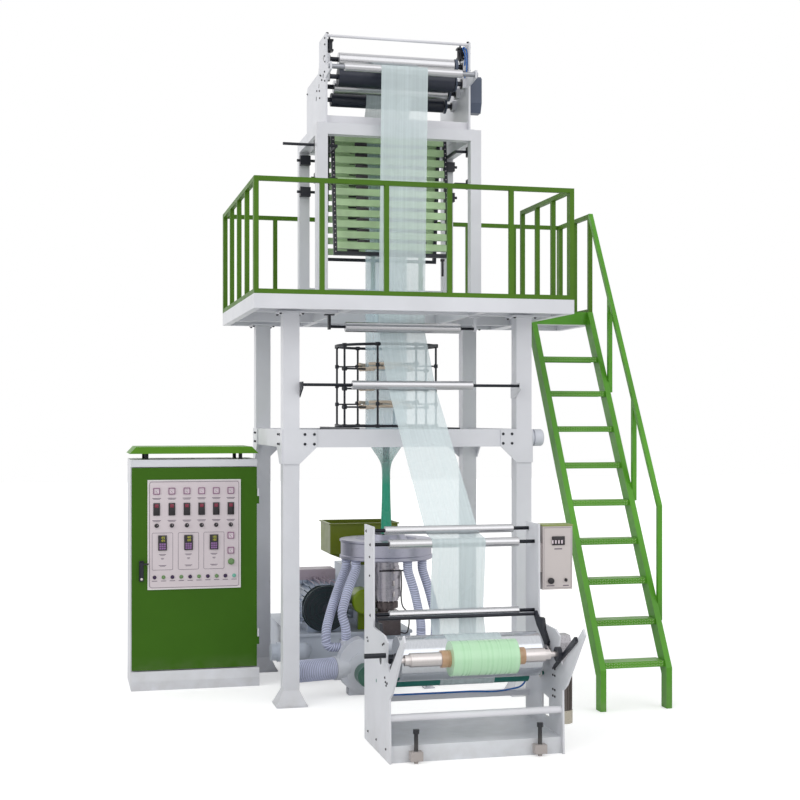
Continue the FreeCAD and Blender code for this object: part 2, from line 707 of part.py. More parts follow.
def drive_motor():
    """Finned motor with its round fan cover to the front."""
    front = MOTOR_Y + 48
    back = MOTOR_Y + MOTOR_L
    solids = [rod_y(MOTOR_Y, front, MOTOR_X, MOTOR_Z, 150), rod_y(front, back, MOTOR_X, MOTOR_Z, MOTOR_R)]
    fin = box(MOTOR_R - 6, FIN_R, front, back - 60, -2.5, 2.5)
    for i in range(21):
        blade = fin.copy()
        blade.rotate(V(0, 0, 0), V(0, 1, 0), 30 - 12 * i)
        blade.translate(V(MOTOR_X, 0, MOTOR_Z))
        solids.append(blade)
    solids.append(box(MOTOR_X - 110, MOTOR_X + 110, front + 30, back - 40, BASE_TOP, MOTOR_Z - 100))
    top = MOTOR_Z + MOTOR_R
    solids.append(box(MOTOR_X - 127, MOTOR_X + 121, back - 180, back, top - 20, top + 73))
    return fuse(*solids)


def coupling_guard():
    """Round guard on a small foot between the motor and the barrel."""
    drum = rod_y(120, 300, GUARD_X, GUARD_Z, GUARD_R)
    rim = [e for e in drum.Edges if e.Curve.TypeId == "Part::GeomCircle" and e.CenterOfMass.y < 200]
    foot = box(GUARD_X - 32, GUARD_X + 32, 190, 230, BASE_TOP, GUARD_Z - 60)
    return fuse(drum.makeFillet(18, rim), foot)


def feed_hopper():
    """Open box that tapers down to the throat."""
    w = THROAT_W / 2 - 6
    top, low = (HOP_L, HOP_R, HOP_F, HOP_B), (-w, w, THROAT_Y - w, THROAT_Y + w)
    t = HOP_WALL
    top_in = (HOP_L + t, HOP_R - t, HOP_F + t, HOP_B - t)
    low_in = (-w + t, w - t, THROAT_Y - w + t, THROAT_Y + w - t)
    outer = fuse(box(*top, HOP_KNEE, HOP_TOP), frustum(low, top, THROAT_TOP, HOP_KNEE))
    inner = fuse(box(*top_in, HOP_KNEE, HOP_TOP + 1), frustum(low_in, top_in, THROAT_TOP + 8, HOP_KNEE))
    rim = box(HOP_L - 10, HOP_R + 10, HOP_F - 10, HOP_B + 10, HOP_TOP - 8, HOP_TOP).cut(
        box(*top_in, HOP_TOP - 9, HOP_TOP + 1))
    return fuse(outer.cut(inner), rim)


# Die, air ring and blower

def die_head():
    """Adapter block on the barrel end, neck, clamp ring and the body with its heater bands."""
    h = DIE_HALF
    profile = [(0, 470), (55, 470), (55, 490), (h, 490), (h, 530), (62, 530), (62, 540), (DIE_R, 540)]
    for z in (556.0, 626.0, 706.0):
        profile += [(DIE_R, z), (DIE_R + 6, z), (DIE_R + 6, z + 60), (DIE_R, z + 60)]
    profile += [(DIE_R, DIE_TOP), (DIE_R + 48, DIE_TOP), (DIE_R + 48, RING_Z), (0, RING_Z)]
    block = box(-h, h, -h, h, DIE_LOW, 470)
    conduit = rod_z(560, 740, DIE_R + 7, -10, 7)
    return fuse(revolve(profile), block, conduit)


def air_ring():
    r = RING_R
    profile = [(98, RING_Z), (r, RING_Z), (r + 8, RING_Z + 6), (r + 8, RING_Z + 24), (r, RING_Z + 30),
               (r, RING_TOP - 20), (r + 8, RING_TOP - 14), (r + 8, RING_TOP - 2), (r - 20, RING_TOP),
               (200, RING_TOP), (188, RING_TOP - 26), (150, RING_TOP - 26), (118, RING_TOP + 30),
               (98, RING_TOP + 30)]
    return revolve(profile)


def bubble_mandrel():
    z = RING_Z
    profile = [(0, z), (40, z), (40, z + 150), (8, z + 168), (8, z + 368), (22, z + 428), (22, z + 748), (0, z + 748)]
    return revolve(profile)


def duct_piece(near, far, r):
    """Length of the slanting intake, from near to far off the fan's middle."""
    body = rod_x(FAN_X - far, FAN_X - near, DUCT_Y, DUCT_Z, r)
    body.rotate(V(FAN_X, DUCT_Y, 0), V(0, 0, 1), DUCT_TURN)
    return body


def scroll_outline():
    """Spiral casing whose radius shrinks from the outlet on top round to the right, as X, Z pairs."""
    pts = []
    for i in range(28):
        a = math.radians(100 + 10 * i)
        r = FAN_R * (1.08 - 0.16 * i / 27)
        pts.append((FAN_X + r * math.cos(a), FAN_Z + r * math.sin(a)))
    return pts


def air_blower():
    """Scroll on its foot with motor, intake collar and the pipe that feeds the hoses."""
    axis = FAN_Z - 40
    scroll = plate_y(scroll_outline(), FAN_F, FAN_B)
    rim = rod_y(FAN_F - 8, FAN_F, FAN_X, axis + 14, FAN_R * 0.72)
    motor = rod_y(FAN_F - 120, FAN_F, FAN_X - 10, axis, 68)
    feet = box(FAN_X - 110, FAN_X + 110, FAN_F + 10, FAN_B - 10, 0, 40)
    collar = duct_piece(120, DUCT_NEAR, INLET_R)
    chest = box(CHEST_L, CHEST_R, FAN_B, FAN_B + 80, 235, CHEST_TOP)
    pipe = rod_x(CHEST_R, MANIFOLD_END, MANIFOLD_Y, MANIFOLD_Z, MANIFOLD_R)
    stubs = [rod_z(MANIFOLD_Z, STUB_TOP, x, MANIFOLD_Y, HOSE_R + 4) for x in STUBS]
    leg = box(200, 230, MANIFOLD_Y - 15, MANIFOLD_Y + 15, 0, MANIFOLD_Z)
    pad = box(180, 250, MANIFOLD_Y - 35, MANIFOLD_Y + 35, 0, 8)
    return fuse(scroll, rim, motor, feet, collar, chest, pipe, leg, pad, *stubs)


def tube(points, r):
    """Round tube along straight runs joined by tangent arcs."""
    pts = [V(*p) for p in points]
    edges, last = [], pts[0]
    for a, b, c in zip(pts, pts[1:], pts[2:]):
        u, v = (a - b).normalize(), (c - b).normalize()
        turn = math.pi - u.getAngle(v)
        cut = 0.45 * min((a - b).Length, (c - b).Length)
        p, q = b + u * cut, b + v * cut
        bow = cut / math.tan((math.pi - turn) / 2)
        radius = cut / math.tan(turn / 2)
        mid = (u + v).normalize()
        centre = b + mid * math.hypot(cut, radius)
        edges.append(Part.LineSegment(last, p).toShape())
        edges.append(Part.Arc(p, centre - mid * radius, q).toShape())
        last = q
    edges.append(Part.LineSegment(last, pts[-1]).toShape())
    circle = Part.Wire(Part.makeCircle(r, pts[0], pts[1] - pts[0]))
    return Part.Wire(edges).makePipeShell([circle], True, False)


def air_hoses():
    """Four hoses from the manifold up to the air ring, and the intake duct of the blower."""
    z, y = RING_Z, MANIFOLD_Y
    routes = [
        [(-268, 10, z), (-268, 10, z - 60), (-340, -80, 633), (-416, -200, 489), (-456, -262, 385),
         (-456, y, MANIFOLD_Z), (CHEST_L, y, MANIFOLD_Z)],
        [(-232, -130, z), (-232, -130, z - 60), (-300, -190, 633), (-352, -245, 490), (-328, y, 415),
         (-328, y, CHEST_TOP)],
        [(84, -252, z), (84, -252, z - 60), (119, -285, 636), (150, -290, 493), (STUBS[0], y, 420),
         (STUBS[0], y, STUB_TOP)],
        [(200, -176, z), (200, -176, z - 60), (235, -215, 633), (STUBS[1], -260, 490), (STUBS[1], y, 420),
         (STUBS[1], y, STUB_TOP)]]
    out = [tube(route, HOSE_R) for route in routes]
    end = DUCT_NEAR + DUCT_L
    out.append(fuse(duct_piece(DUCT_NEAR, end, DUCT_R), duct_piece(end - 22, end + 2, DUCT_R + 6)))
    return group(*out)


# Film

def tangent(a, b):
    """Contact points of the web between two rollers given as Y, Z, radius, side.

    Side 1 has the roller on the left of the way the web travels, -1 on the right."""
    dy, dz = b[0] - a[0], b[1] - a[1]
    k = (a[3] * a[2] - b[3] * b[2]) / math.hypot(dy, dz)
    turn = math.atan2(dz, dy) + math.asin(k)
    n = (math.sin(turn), -math.cos(turn))
    return ((a[0] + a[3] * a[2] * n[0], a[1] + a[3] * a[2] * n[1]),
            (b[0] + b[3] * b[2] * n[0], b[1] + b[3] * b[2] * n[1]))


def web_line(path):
    """Points along a web that runs over the rollers of the path in turn."""
    runs = [tangent(a, b) for a, b in zip(path, path[1:])]
    pts = [runs[0][0]]
    for i, (y, z, r, side) in enumerate(path[1:-1]):
        p, q = runs[i][1], runs[i + 1][0]
        a0 = math.atan2(p[1] - z, p[0] - y)
        a1 = math.atan2(q[1] - z, q[0] - y)
        sweep = (a1 - a0) * side % (2 * math.pi)
        steps = max(2, int(sweep / math.radians(9)))
        for j in range(steps + 1):
            a = a0 + side * sweep * j / steps
            pts.append((y + r * math.cos(a), z + r * math.sin(a)))
    pts.append(runs[-1][1])
    return pts


def sheet_x(points, thick, half):
    """Flat web of even thickness that follows a line of Y, Z points, wide along X."""
    upper, lower = [], []
    for i, p in enumerate(points):
        a = points[max(0, i - 1)]
        b = points[min(len(points) - 1, i + 1)]
        dy, dz = b[0] - a[0], b[1] - a[1]
        d = math.hypot(dy, dz)
        n = (-dz / d * thick / 2, dy / d * thick / 2)
        upper.append((p[0] + n[0], p[1] + n[1]))
        lower.append((p[0] - n[0], p[1] - n[1]))
    return plate_x(upper + lower[::-1], -half, half)


def film_web():
    """Film from the collapsing frames over the haul-off and the idlers to the winding nip."""
    g = FILM_GAP + FILM_T / 2 + 0.15
    path = [(0.0, COL_TOP_Z + 5, 0.0, 1)]
    for roll, side in ((GUIDE_R, -1), (STEEL_R, 1), (RUBBER_R, 1), (FRONT_R, 1), (IDLE_A, -1), (IDLE_B, -1),
                       (ROLL_A, -1), (ROLL_B, 1), (ROLL_C, -1), (RIDER, -1), (DRUM, 1)):
        path.append((roll[0], roll[1], roll[2] + g, side))
    nip = math.atan2(SHAFT_Z - DRUM[1], SHAFT_Y - DRUM[0])
    reach = DRUM[2] + g
    path.append((DRUM[0] + reach * math.cos(nip) - 6 * math.sin(nip),
                 DRUM[1] + reach * math.sin(nip) + 6 * math.cos(nip), 0.0, 1))
    return sheet_x(web_line(path), FILM_T, FILM_W / 2)


def film_bubble():
    """Narrow stalk, flared shoulder, round bubble and the flattening above it."""
    wall = 2.0
    rings = [(36, RING_TOP + 31), (35, 1040), (30, 1180), (27.5, 1330), (29, 1405), (38, 1448), (62, 1492),
             (98, 1545), (127, 1600), (BUBBLE_R, BUBBLE_Z)]
    inner = [(r - wall, z) for r, z in rings]
    curves = []
    for line in (rings, inner):
        curve = Part.BSplineCurve()
        curve.interpolate([V(r, 0, z) for r, z in line])
        curves.append(curve.toShape())
    ends = [Part.makeLine(V(rings[k][0], 0, rings[k][1]), V(inner[k][0], 0, inner[k][1])) for k in (0, -1)]
    neck = Part.Face(Part.Wire(Part.__sortEdges__([curves[0], ends[1], curves[1], ends[0]])))
    neck = neck.revolve(V(0, 0, 0), V(0, 0, 1), 360)
    tall = Part.makeCylinder(BUBBLE_R, COL_BOT_Z - BUBBLE_Z, V(0, 0, BUBBLE_Z))
    tall = tall.cut(Part.makeCylinder(BUBBLE_R - wall, COL_BOT_Z - BUBBLE_Z + 10, V(0, 0, BUBBLE_Z - 5)))
    lofts = []
    for grow in (0.0, -wall):
        low = Part.Wire(Part.makeCircle(BUBBLE_R + grow, V(0, 0, COL_BOT_Z)))
        top = Part.Ellipse(V(0, 0, COL_TOP_Z), FILM_W / 2 + grow, max(5.0 + grow, 1.5)).toShape()
        lofts.append(Part.makeLoft([low, Part.Wire(top)], True))
    return fuse(neck, tall, lofts[0].cut(lofts[1]))


# Winder

def winder_x(side, inset=0.0):
    return WIND_X + side * (WIND_W - inset)


def winder_plate(side):
    """Side plate with its tall rear part and the inclined fork for the reel in one."""
    outer, inner = winder_x(side), winder_x(side, WIND_T)
    a, b = sorted((outer, inner))
    outline = [(WIND_B, 0), (WIND_B, WIND_Z), (WIND_NECK, WIND_Z), (WIND_NECK - 5, 638), (-2040, 630),
               (-2107, 603), (-2081, 500), (-2148, 457), (WIND_F, 0)]
    fork = [(-2100, 500), (-2145, 456), (-2414, 668), (-2440, 690), (-2465, 661), (-2212, 366), (WIND_F, 333),
            (-2100, 340)]
    body = fuse(plate_x(outline, outer, inner), plate_x(fork, outer, inner))
    if side > 0:
        body = body.cut(plate_x([(-1946, 147), (-1837, 147), (-1837, 264), (-1946, 250)], a - 1, b + 1))
    for y, z, r in (ROLL_A, ROLL_B, ROLL_C, RIDER):
        body = body.cut(rod_x(a - 30, b + 30, y, z, WIND_SHAFT + FIT))
    return body.cut(rod_x(a - 30, b + 30, DRUM[0], DRUM[1], DRUM_SHAFT + FIT))


def winder_base():
    """Closed floor pan with its two levelling screws and their clamp blocks."""
    x0, x1 = winder_x(-1, WIND_T), winder_x(1, WIND_T)
    front = WIND_F + 25
    solids = [box(x0, x1, front, WIND_B, 0, PAN_Z)]
    for x in (WIND_X - 330, WIND_X + 330):
        solids.append(box(x - 32, x + 32, front - 50, front, 14, 60))
        solids.append(rod_z(0, 150, x, front - 28, 11))
        solids.append(rod_z(150, 172, x, front - 28, 16))
    return fuse(*solids)


def winder_cross_bars():
    x0, x1 = winder_x(-1, WIND_T), winder_x(1, WIND_T)
    low = rod_x(x0, x1, WIND_F + 35, 226, 19)
    mid = box(x0, x1, WIND_B - 60, WIND_B - 10, 205, 235)
    return group(low, mid)


def winder_rollers():
    a, b = winder_x(-1), winder_x(1)
    for name, pos in (("winder_roller_top", ROLL_A), ("winder_roller_second", ROLL_B),
                      ("winder_roller_low", ROLL_C), ("winder_rubber_roller", RIDER)):
        add(name, roller(WIND_X, ROLL_HALF, *pos, WIND_SHAFT, a, b))
    add("winder_drum", roller(WIND_X, ROLL_HALF + 17, *DRUM, DRUM_SHAFT, a, b + 40))


def winding_shaft():
    """Reel shaft with its sleeve, knurled chucks and clamp rings."""
    a, b = winder_x(-1, RAIL_INSET + 1), winder_x(1, RAIL_INSET + 1)
    y, z = SHAFT_Y, SHAFT_Z
    solids = [rod_x(a, b, y, z, REEL_SHAFT), rod_x(WIND_X - 362, WIND_X + 352, y, z, SLEEVE_R)]
    for x in (-392, 352):
        solids.append(rod_x(WIND_X + x, WIND_X + x + 30, y, z, 28))
    for x in (-368, 346):
        solids.append(rod_x(WIND_X + x, WIND_X + x + 10, y, z, 31))
    return fuse(*solids)


def film_roll():
    half = FILM_W / 2 + 24
    body = fuse(rod_x(-half - 48, half + 48, SHAFT_Y, SHAFT_Z, CORE_R), rod_x(-half, half, SHAFT_Y, SHAFT_Z, ROLL_R))
    return body.cut(rod_x(-half - 60, half + 60, SHAFT_Y, SHAFT_Z, SLEEVE_R))


def winder_arms():
    """Swing arms with their latch horns and tie bar, shaft carriers and the hand lever."""
    horn = [(-1738, 676), (-1760, 692), (-1800, 664), (-1862, 670), (-1888, 668), (-1908, 610), (-1966, 556),
            (-1958, 532), (-1925, 528), (-1880, 562), (-1790, 620)]
    arms = [plate_x(horn, winder_x(s, WIND_T), winder_x(s, WIND_T + 16)) for s in (-1, 1)]
    bar = rod_x(winder_x(-1, WIND_T + 16), winder_x(1, WIND_T + 16), -1758, 674, 9)
    out = [fuse(bar, *arms)]
    rail = [(-2046, 424), (-2060, 446), (-2364, 640), (-2378, 618)]
    for s in (-1, 1):
        strip = plate_x(rail, winder_x(s, WIND_T), winder_x(s, RAIL_INSET))
        hub = rod_x(*sorted((winder_x(s, RAIL_INSET), winder_x(s, RAIL_INSET + 24))), SHAFT_Y, SHAFT_Z, 38)
        hub = hub.cut(rod_x(winder_x(-1), winder_x(1), SHAFT_Y, SHAFT_Z, REEL_SHAFT + FIT))
        out.append(fuse(strip, hub))
    out.append(rod_x(winder_x(-1, -110), winder_x(-1), -2072, 535, 13))
    return group(*out)


def winder_motor():
    """Worm gear case on the drum shaft with its ribbed motor hanging below."""
    x = winder_x(1) + 0.5
    y, z, r = DRUM
    axis = x + 60
    case = plate_x([(y - 62, z - 60), (y - 62, z + 60), (y - 40, z + 96), (y + 40, z + 96), (y + 62, z + 60),
                    (y + 62, z - 60), (y + 45, z - 98), (y - 45, z - 98)], x, x + 90)
    hub = rod_x(x, x + 102, y, z, 46)
    motor = rod_z(z - 304, z - 98, axis, y, 50)
    fins = [box(axis - 54, axis + 54, y - 2, y + 2, z - 300, z - 105)]
    for i in range(1, 12):
        fin = fins[0].copy()
        fin.rotate(V(axis, y, 0), V(0, 0, 1), 15 * i)
        fins.append(fin)
    cap = rod_z(z - 374, z - 304, axis, y, 56)
    body = fuse(case, hub, motor, cap, *fins)
    return body.cut(rod_x(x - 5, x + 50, y, z, DRUM_SHAFT + FIT))


def winder_control_box():
    x = winder_x(1)
    case = box(x + 20, x + 191, -1766, -1644, 804, 1151)
    lid = box(x + 16, x + 195, -1770, -1640, 1151, 1159)
    bracket = box(x, x + 20, -1750, -1670, 900, 1060)
    return fuse(case, lid, bracket)


# Cabinet

def cabinet_body():
    front = CAB_F + DOOR_T
    back = CAB_F + CAB_D
    shell = box(CAB_L, CAB_R, front, back, PLINTH_Z, CAB_Z)
    shell = shell.cut(box(CAB_L + CAB_WALL, CAB_R - CAB_WALL, CAB_F, back - 12, PLINTH_Z + 22, CAB_Z - CAB_BAND - 20))
    band = box(CAB_L, CAB_R, CAB_F, front, CAB_Z - CAB_BAND, CAB_Z)
    plinth = plate_x([(CAB_F - 16, 0), (back + 10, 0), (back + 10, PLINTH_STEP), (back, PLINTH_Z),
                      (CAB_F, PLINTH_Z), (CAB_F - 16, PLINTH_STEP)], CAB_L, CAB_R + 14)
    return fuse(shell, band, plinth, *door_hinges())


def door_hinges():
    """Pin halves of the two hinges, carried on the side of the cabinet."""
    out = []
    for z in HINGES:
        leaf = box(CAB_R, CAB_R + 3, CAB_F + DOOR_T, CAB_F + DOOR_T + 40, z, z + 100)
        arm = box(CAB_R, HINGE_X + 6, CAB_F + 8, CAB_F + DOOR_T + 6, z + 50, z + 100)
        barrel = rod_z(z + 50, z + 100, HINGE_X, HINGE_Y, 7)
        pin = rod_z(z, z + 60, HINGE_X, HINGE_Y, 4)
        out.append(fuse(barrel, pin, arm.cut(rod_z(z, z + 120, HINGE_X, HINGE_Y, 6.5)), leaf))
    return out


def cabinet_door():
    """Tray-shaped door with the tube halves of its hinges."""
    x0, x1 = CAB_L + 6, CAB_R - 2
    z0, z1 = PLINTH_Z + DOOR_GAP + 2.5, CAB_Z - CAB_BAND - DOOR_GAP
    y0, y1 = CAB_F - 4, CAB_F + DOOR_T - DOOR_GAP
    door = box(x0, x1, y0, y1, z0, z1).cut(box(x0 + 20, x1 - 20, CAB_F, y1 + 1, z0 + 20, z1 - 20))
    for z in HINGES:
        knuckle = fuse(rod_z(z, z + 49, HINGE_X, HINGE_Y, 7), box(x1 - 3, HINGE_X, y0, y0 + 8, z, z + 49))
        door = fuse(door, knuckle.cut(rod_z(z - 1, z + 50, HINGE_X, HINGE_Y, 4 + FIT)))
    return door


def cabinet_hood():
    z = CAB_Z + HOOD_LIFT
    back = CAB_F + CAB_D
    top = plate_y([(CAB_L - 8, z), (CAB_R + 8, z), (CAB_R - 34, z + HOOD_H), (CAB_L + 34, z + HOOD_H)],
                  CAB_F - 10, back - 10)
    legs = [box(x, x + 22, y, y + 22, CAB_Z, z) for x in (CAB_L + 92, CAB_R - 114) for y in (CAB_F + 40, back - 80)]
    return fuse(top, *legs)


def instrument_panel():
    return box(PANEL_L, PANEL_R, CAB_F - 9, CAB_F - 4, PANEL_Z0, PANEL_Z1)


def door_handle():
    x = CAB_L + 52
    y = CAB_F - 4
    plate = box(x, x + 28, y - 14, y, 700, 830)
    return fuse(plate, box(x + 4, x + 24, y - 34, y - 14, 800, 822), box(x + 6, x + 22, y - 34, y - 22, 712, 822))


def build():
    add("columns", group(*[column(sx, sy) for sx in (-1, 1) for sy in (-1, 1)]))
    add("mid_beams", group(mid_beam_long(-1), mid_beam_long(1), mid_beam_side(-1), mid_beam_side(1)))
    add("cage_lift_motor", cage_lift_motor())
    add("platform_deck", deck())
    railings()
    add("stair_strings", group(stair_string(STAIR_L), stair_string(STAIR_R - STRING_T)))
    add("stair_treads", group(stair_top_plate(), *[stair_tread(i) for i in range(TREADS)]))
    add("stair_handrail", stair_handrail())
    add("upper_posts", upper_posts())
    add("upper_beams", upper_beams())
    add("head_side_plates", group(head_plate(-1), head_plate(1)))
    add("head_cross_bars", head_cross_bars())
    head_rollers()
    add("head_cylinders", nip_cylinders())
    add("head_gearmotor", head_gearmotor())
    add("collapsing_frames", group(collapse_frame(-1), collapse_frame(1)))
    add("collapsing_slats", group(*(collapse_slats(-1) + collapse_slats(1))))
    add("collapsing_adjusters", collapsing_adjusters())
    add("bubble_cage", bubble_cage())
    add("cage_rollers", cage_rollers())
    guide_idlers()
    add("guide_roller_brackets", idler_brackets())
    add("extruder_base", extruder_base())
    add("extruder_drive", extruder_drive())
    add("drive_motor", drive_motor())
    add("coupling_guard", coupling_guard())
    add("feed_hopper", feed_hopper())
    add("die_head", die_head())
    add("air_ring", air_ring())
    add("bubble_mandrel", bubble_mandrel())
    add("air_blower", air_blower())
    add("air_hoses", air_hoses())
    add("film_bubble", film_bubble())
    add("film_web", film_web())
    add("winder_side_plates", group(winder_plate(-1), winder_plate(1)))
    add("winder_base", winder_base())
    add("winder_cross_bars", winder_cross_bars())
    winder_rollers()
    add("winding_shaft", winding_shaft())
    add("film_roll", film_roll())
    add("winder_arms", winder_arms())
    add("winder_motor", winder_motor())
    add("winder_control_box", winder_control_box())
    add("cabinet_body", cabinet_body())
    add("cabinet_door", cabinet_door())
    add("cabinet_hood", cabinet_hood())
    add("instrument_panel", instrument_panel())
    add("door_handle", door_handle())


build()
whole = FreeCAD.BoundBox()
for shape in PARTS.values():
    whole.add(shape.optimalBoundingBox(False))
shift = V(-(whole.XMin + whole.XMax) / 2, -(whole.YMin + whole.YMax) / 2, -whole.ZMin)
print("origin shift", round(shift.x, 3), round(shift.y, 3), round(shift.z, 3))
print("winder", round(SHAFT_Y, 3), SHAFT_Z, round(RIDER[0], 3), round(RIDER[1], 3))
print("size", round(whole.XLength, 1), round(whole.YLength, 1), round(whole.ZLength, 1))
os.makedirs("parts", exist_ok=True)
for name, shape in PARTS.items():
    moved = shape.copy()
    moved.translate(shift)
    moved.exportStep("parts/" + name + ".step")
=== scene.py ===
import math
import bpy
from mathutils import Matrix, Vector


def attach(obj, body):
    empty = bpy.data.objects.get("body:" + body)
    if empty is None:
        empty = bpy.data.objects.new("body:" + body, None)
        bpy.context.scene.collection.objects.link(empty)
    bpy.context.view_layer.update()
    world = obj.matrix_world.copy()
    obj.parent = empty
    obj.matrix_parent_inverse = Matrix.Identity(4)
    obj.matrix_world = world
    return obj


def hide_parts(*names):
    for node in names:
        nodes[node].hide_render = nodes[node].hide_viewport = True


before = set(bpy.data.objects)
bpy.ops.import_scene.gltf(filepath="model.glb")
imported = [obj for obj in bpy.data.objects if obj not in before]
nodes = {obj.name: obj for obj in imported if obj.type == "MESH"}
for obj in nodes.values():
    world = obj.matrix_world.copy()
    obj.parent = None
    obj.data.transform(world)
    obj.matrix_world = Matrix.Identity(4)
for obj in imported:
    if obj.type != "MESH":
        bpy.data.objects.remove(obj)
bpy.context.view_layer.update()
shift = Vector((0.0815, 0.6865, 0.0))      # die axis to the middle of the footprint
print("frame loaded,", len(nodes), "nodes")


def spot(x, y, z):
    return Vector((x, y, z)) / 1000 + shift


# modelling helpers

def clear():
    if bpy.context.mode != "OBJECT":
        bpy.ops.object.mode_set(mode="OBJECT")
    bpy.ops.object.select_all(action="DESELECT")


def activate(piece):
    clear()
    piece.select_set(True)
    bpy.context.view_layer.objects.active = piece


def applyAll(piece):
    activate(piece)
    for modifier in list(piece.modifiers):
        bpy.ops.object.modifier_apply(modifier=modifier.name)
    bpy.ops.object.transform_apply(location=True, rotation=True, scale=True)


def soften(piece, width, segments=2, angle=35):
    bevel = piece.modifiers.new("edges", "BEVEL")
    bevel.width = width
    bevel.segments = segments
    bevel.limit_method = "ANGLE"
    bevel.angle_limit = math.radians(angle)
    applyAll(piece)
    bpy.ops.object.shade_smooth_by_angle(angle=math.radians(40))


# corners in millimetres on the tower's axes
def block(lo, hi, edge=1.0):
    clear()
    low, high = spot(*lo), spot(*hi)
    bpy.ops.mesh.primitive_cube_add(size=1, location=(low + high) / 2)
    piece = bpy.context.object
    piece.scale = high - low
    applyAll(piece)
    if edge:
        soften(piece, edge / 1000)
    return piece


turns = {"x": Matrix.Rotation(math.radians(90), 4, "Y"), "y": Matrix.Rotation(math.radians(90), 4, "X"),
         "z": Matrix.Identity(4)}


# round piece with its middle at centre
def disc(centre, radius, depth, axis="z", sides=28, edge=0.8):
    clear()
    bpy.ops.mesh.primitive_cylinder_add(vertices=sides, radius=radius / 1000, depth=depth / 1000)
    piece = bpy.context.object
    piece.data.transform(Matrix.Translation(spot(*centre)) @ turns[axis])
    if edge:
        soften(piece, edge / 1000)
    return piece


# the prototype again at each place, its own mesh each time; the prototype goes
def copies(proto, places):
    out = []
    for place in places:
        twin = proto.copy()
        twin.data = proto.data.copy()
        twin.data.transform(place if isinstance(place, Matrix) else Matrix.Translation(place))
        bpy.context.collection.objects.link(twin)
        out.append(twin)
    bpy.data.objects.remove(proto)
    return out


def joined(pieces):
    clear()
    for piece in pieces:
        piece.select_set(True)
    bpy.context.view_layer.objects.active = pieces[0]
    if len(pieces) > 1:
        bpy.ops.object.join()
    return bpy.context.view_layer.objects.active


def finished(pieces, name, material, body="frame", stands=()):
    piece = joined(pieces if isinstance(pieces, list) else [pieces])
    piece.name = name
    piece.data.name = name
    piece.data.materials.clear()
    piece.data.materials.append(material)
    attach(piece, body)
    if stands:
        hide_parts(*stands)
    clear()
    return piece


# materials

def treeOf(name):
    material = bpy.data.materials.new(name)
    material.use_nodes = True
    tree = material.node_tree
    return material, tree.nodes, tree.links, tree.nodes["Principled BSDF"]


def noise(parts, links, scale, detail=3.0, stretch=(1, 1, 1)):
    coords = parts.new("ShaderNodeTexCoord")
    mapping = parts.new("ShaderNodeMapping")
    mapping.inputs["Scale"].default_value = stretch
    texture = parts.new("ShaderNodeTexNoise")
    texture.inputs["Scale"].default_value = scale
    texture.inputs["Detail"].default_value = detail
    links.new(coords.outputs["Object"], mapping.inputs["Vector"])
    links.new(mapping.outputs["Vector"], texture.inputs["Vector"])
    return texture.outputs["Fac"]


def ranged(parts, links, value, low, high, start=0.3, end=0.7):
    node = parts.new("ShaderNodeMapRange")
    node.inputs["From Min"].default_value = start
    node.inputs["From Max"].default_value = end
    node.inputs["To Min"].default_value = low
    node.inputs["To Max"].default_value = high
    links.new(value, node.inputs["Value"])
    return node.outputs["Result"]


def blended(parts, links, factor, first, second):
    node = parts.new("ShaderNodeMix")
    node.data_type = "RGBA"
    links.new(factor, node.inputs["Factor"])
    for socket, value in ((node.inputs[6], first), (node.inputs[7], second)):
        if isinstance(value, (tuple, list)):
            socket.default_value = (*value, 1)
        else:
            links.new(value, socket)
    return node.outputs[2]


def raised(parts, links, shader, height, strength, distance):
    node = parts.new("ShaderNodeBump")
    node.inputs["Strength"].default_value = strength
    node.inputs["Distance"].default_value = distance
    links.new(height, node.inputs["Height"])
    links.new(node.outputs["Normal"], shader.inputs["Normal"])


def heightMask(parts, links, low, high, axis="Z"):
    coords = parts.new("ShaderNodeTexCoord")
    split = parts.new("ShaderNodeSeparateXYZ")
    links.new(coords.outputs["Object"], split.inputs["Vector"])
    return ranged(parts, links, split.outputs[axis], 1.0, 0.0, low, high)


# 1 inside a box whose limits are millimetres on the tower's axes
def zone(parts, links, limits):
    coords = parts.new("ShaderNodeTexCoord")
    axes = parts.new("ShaderNodeSeparateXYZ")
    links.new(coords.outputs["Object"], axes.inputs["Vector"])
    inside = None
    for axis, ends in limits.items():
        for end, test in zip(ends, ("GREATER_THAN", "LESS_THAN")):
            if end is None:
                continue
            node = parts.new("ShaderNodeMath")
            node.operation = test
            node.inputs[1].default_value = end / 1000 + getattr(shift, axis.lower())
            links.new(axes.outputs[axis], node.inputs[0])
            if inside is None:
                inside = node.outputs[0]
                continue
            both = parts.new("ShaderNodeMath")
            both.operation = "MULTIPLY"
            links.new(inside, both.inputs[0])
            links.new(node.outputs[0], both.inputs[1])
            inside = both.outputs[0]
    return inside


def shade(colour, factor):
    return tuple(min(1.0, c * factor) for c in colour)


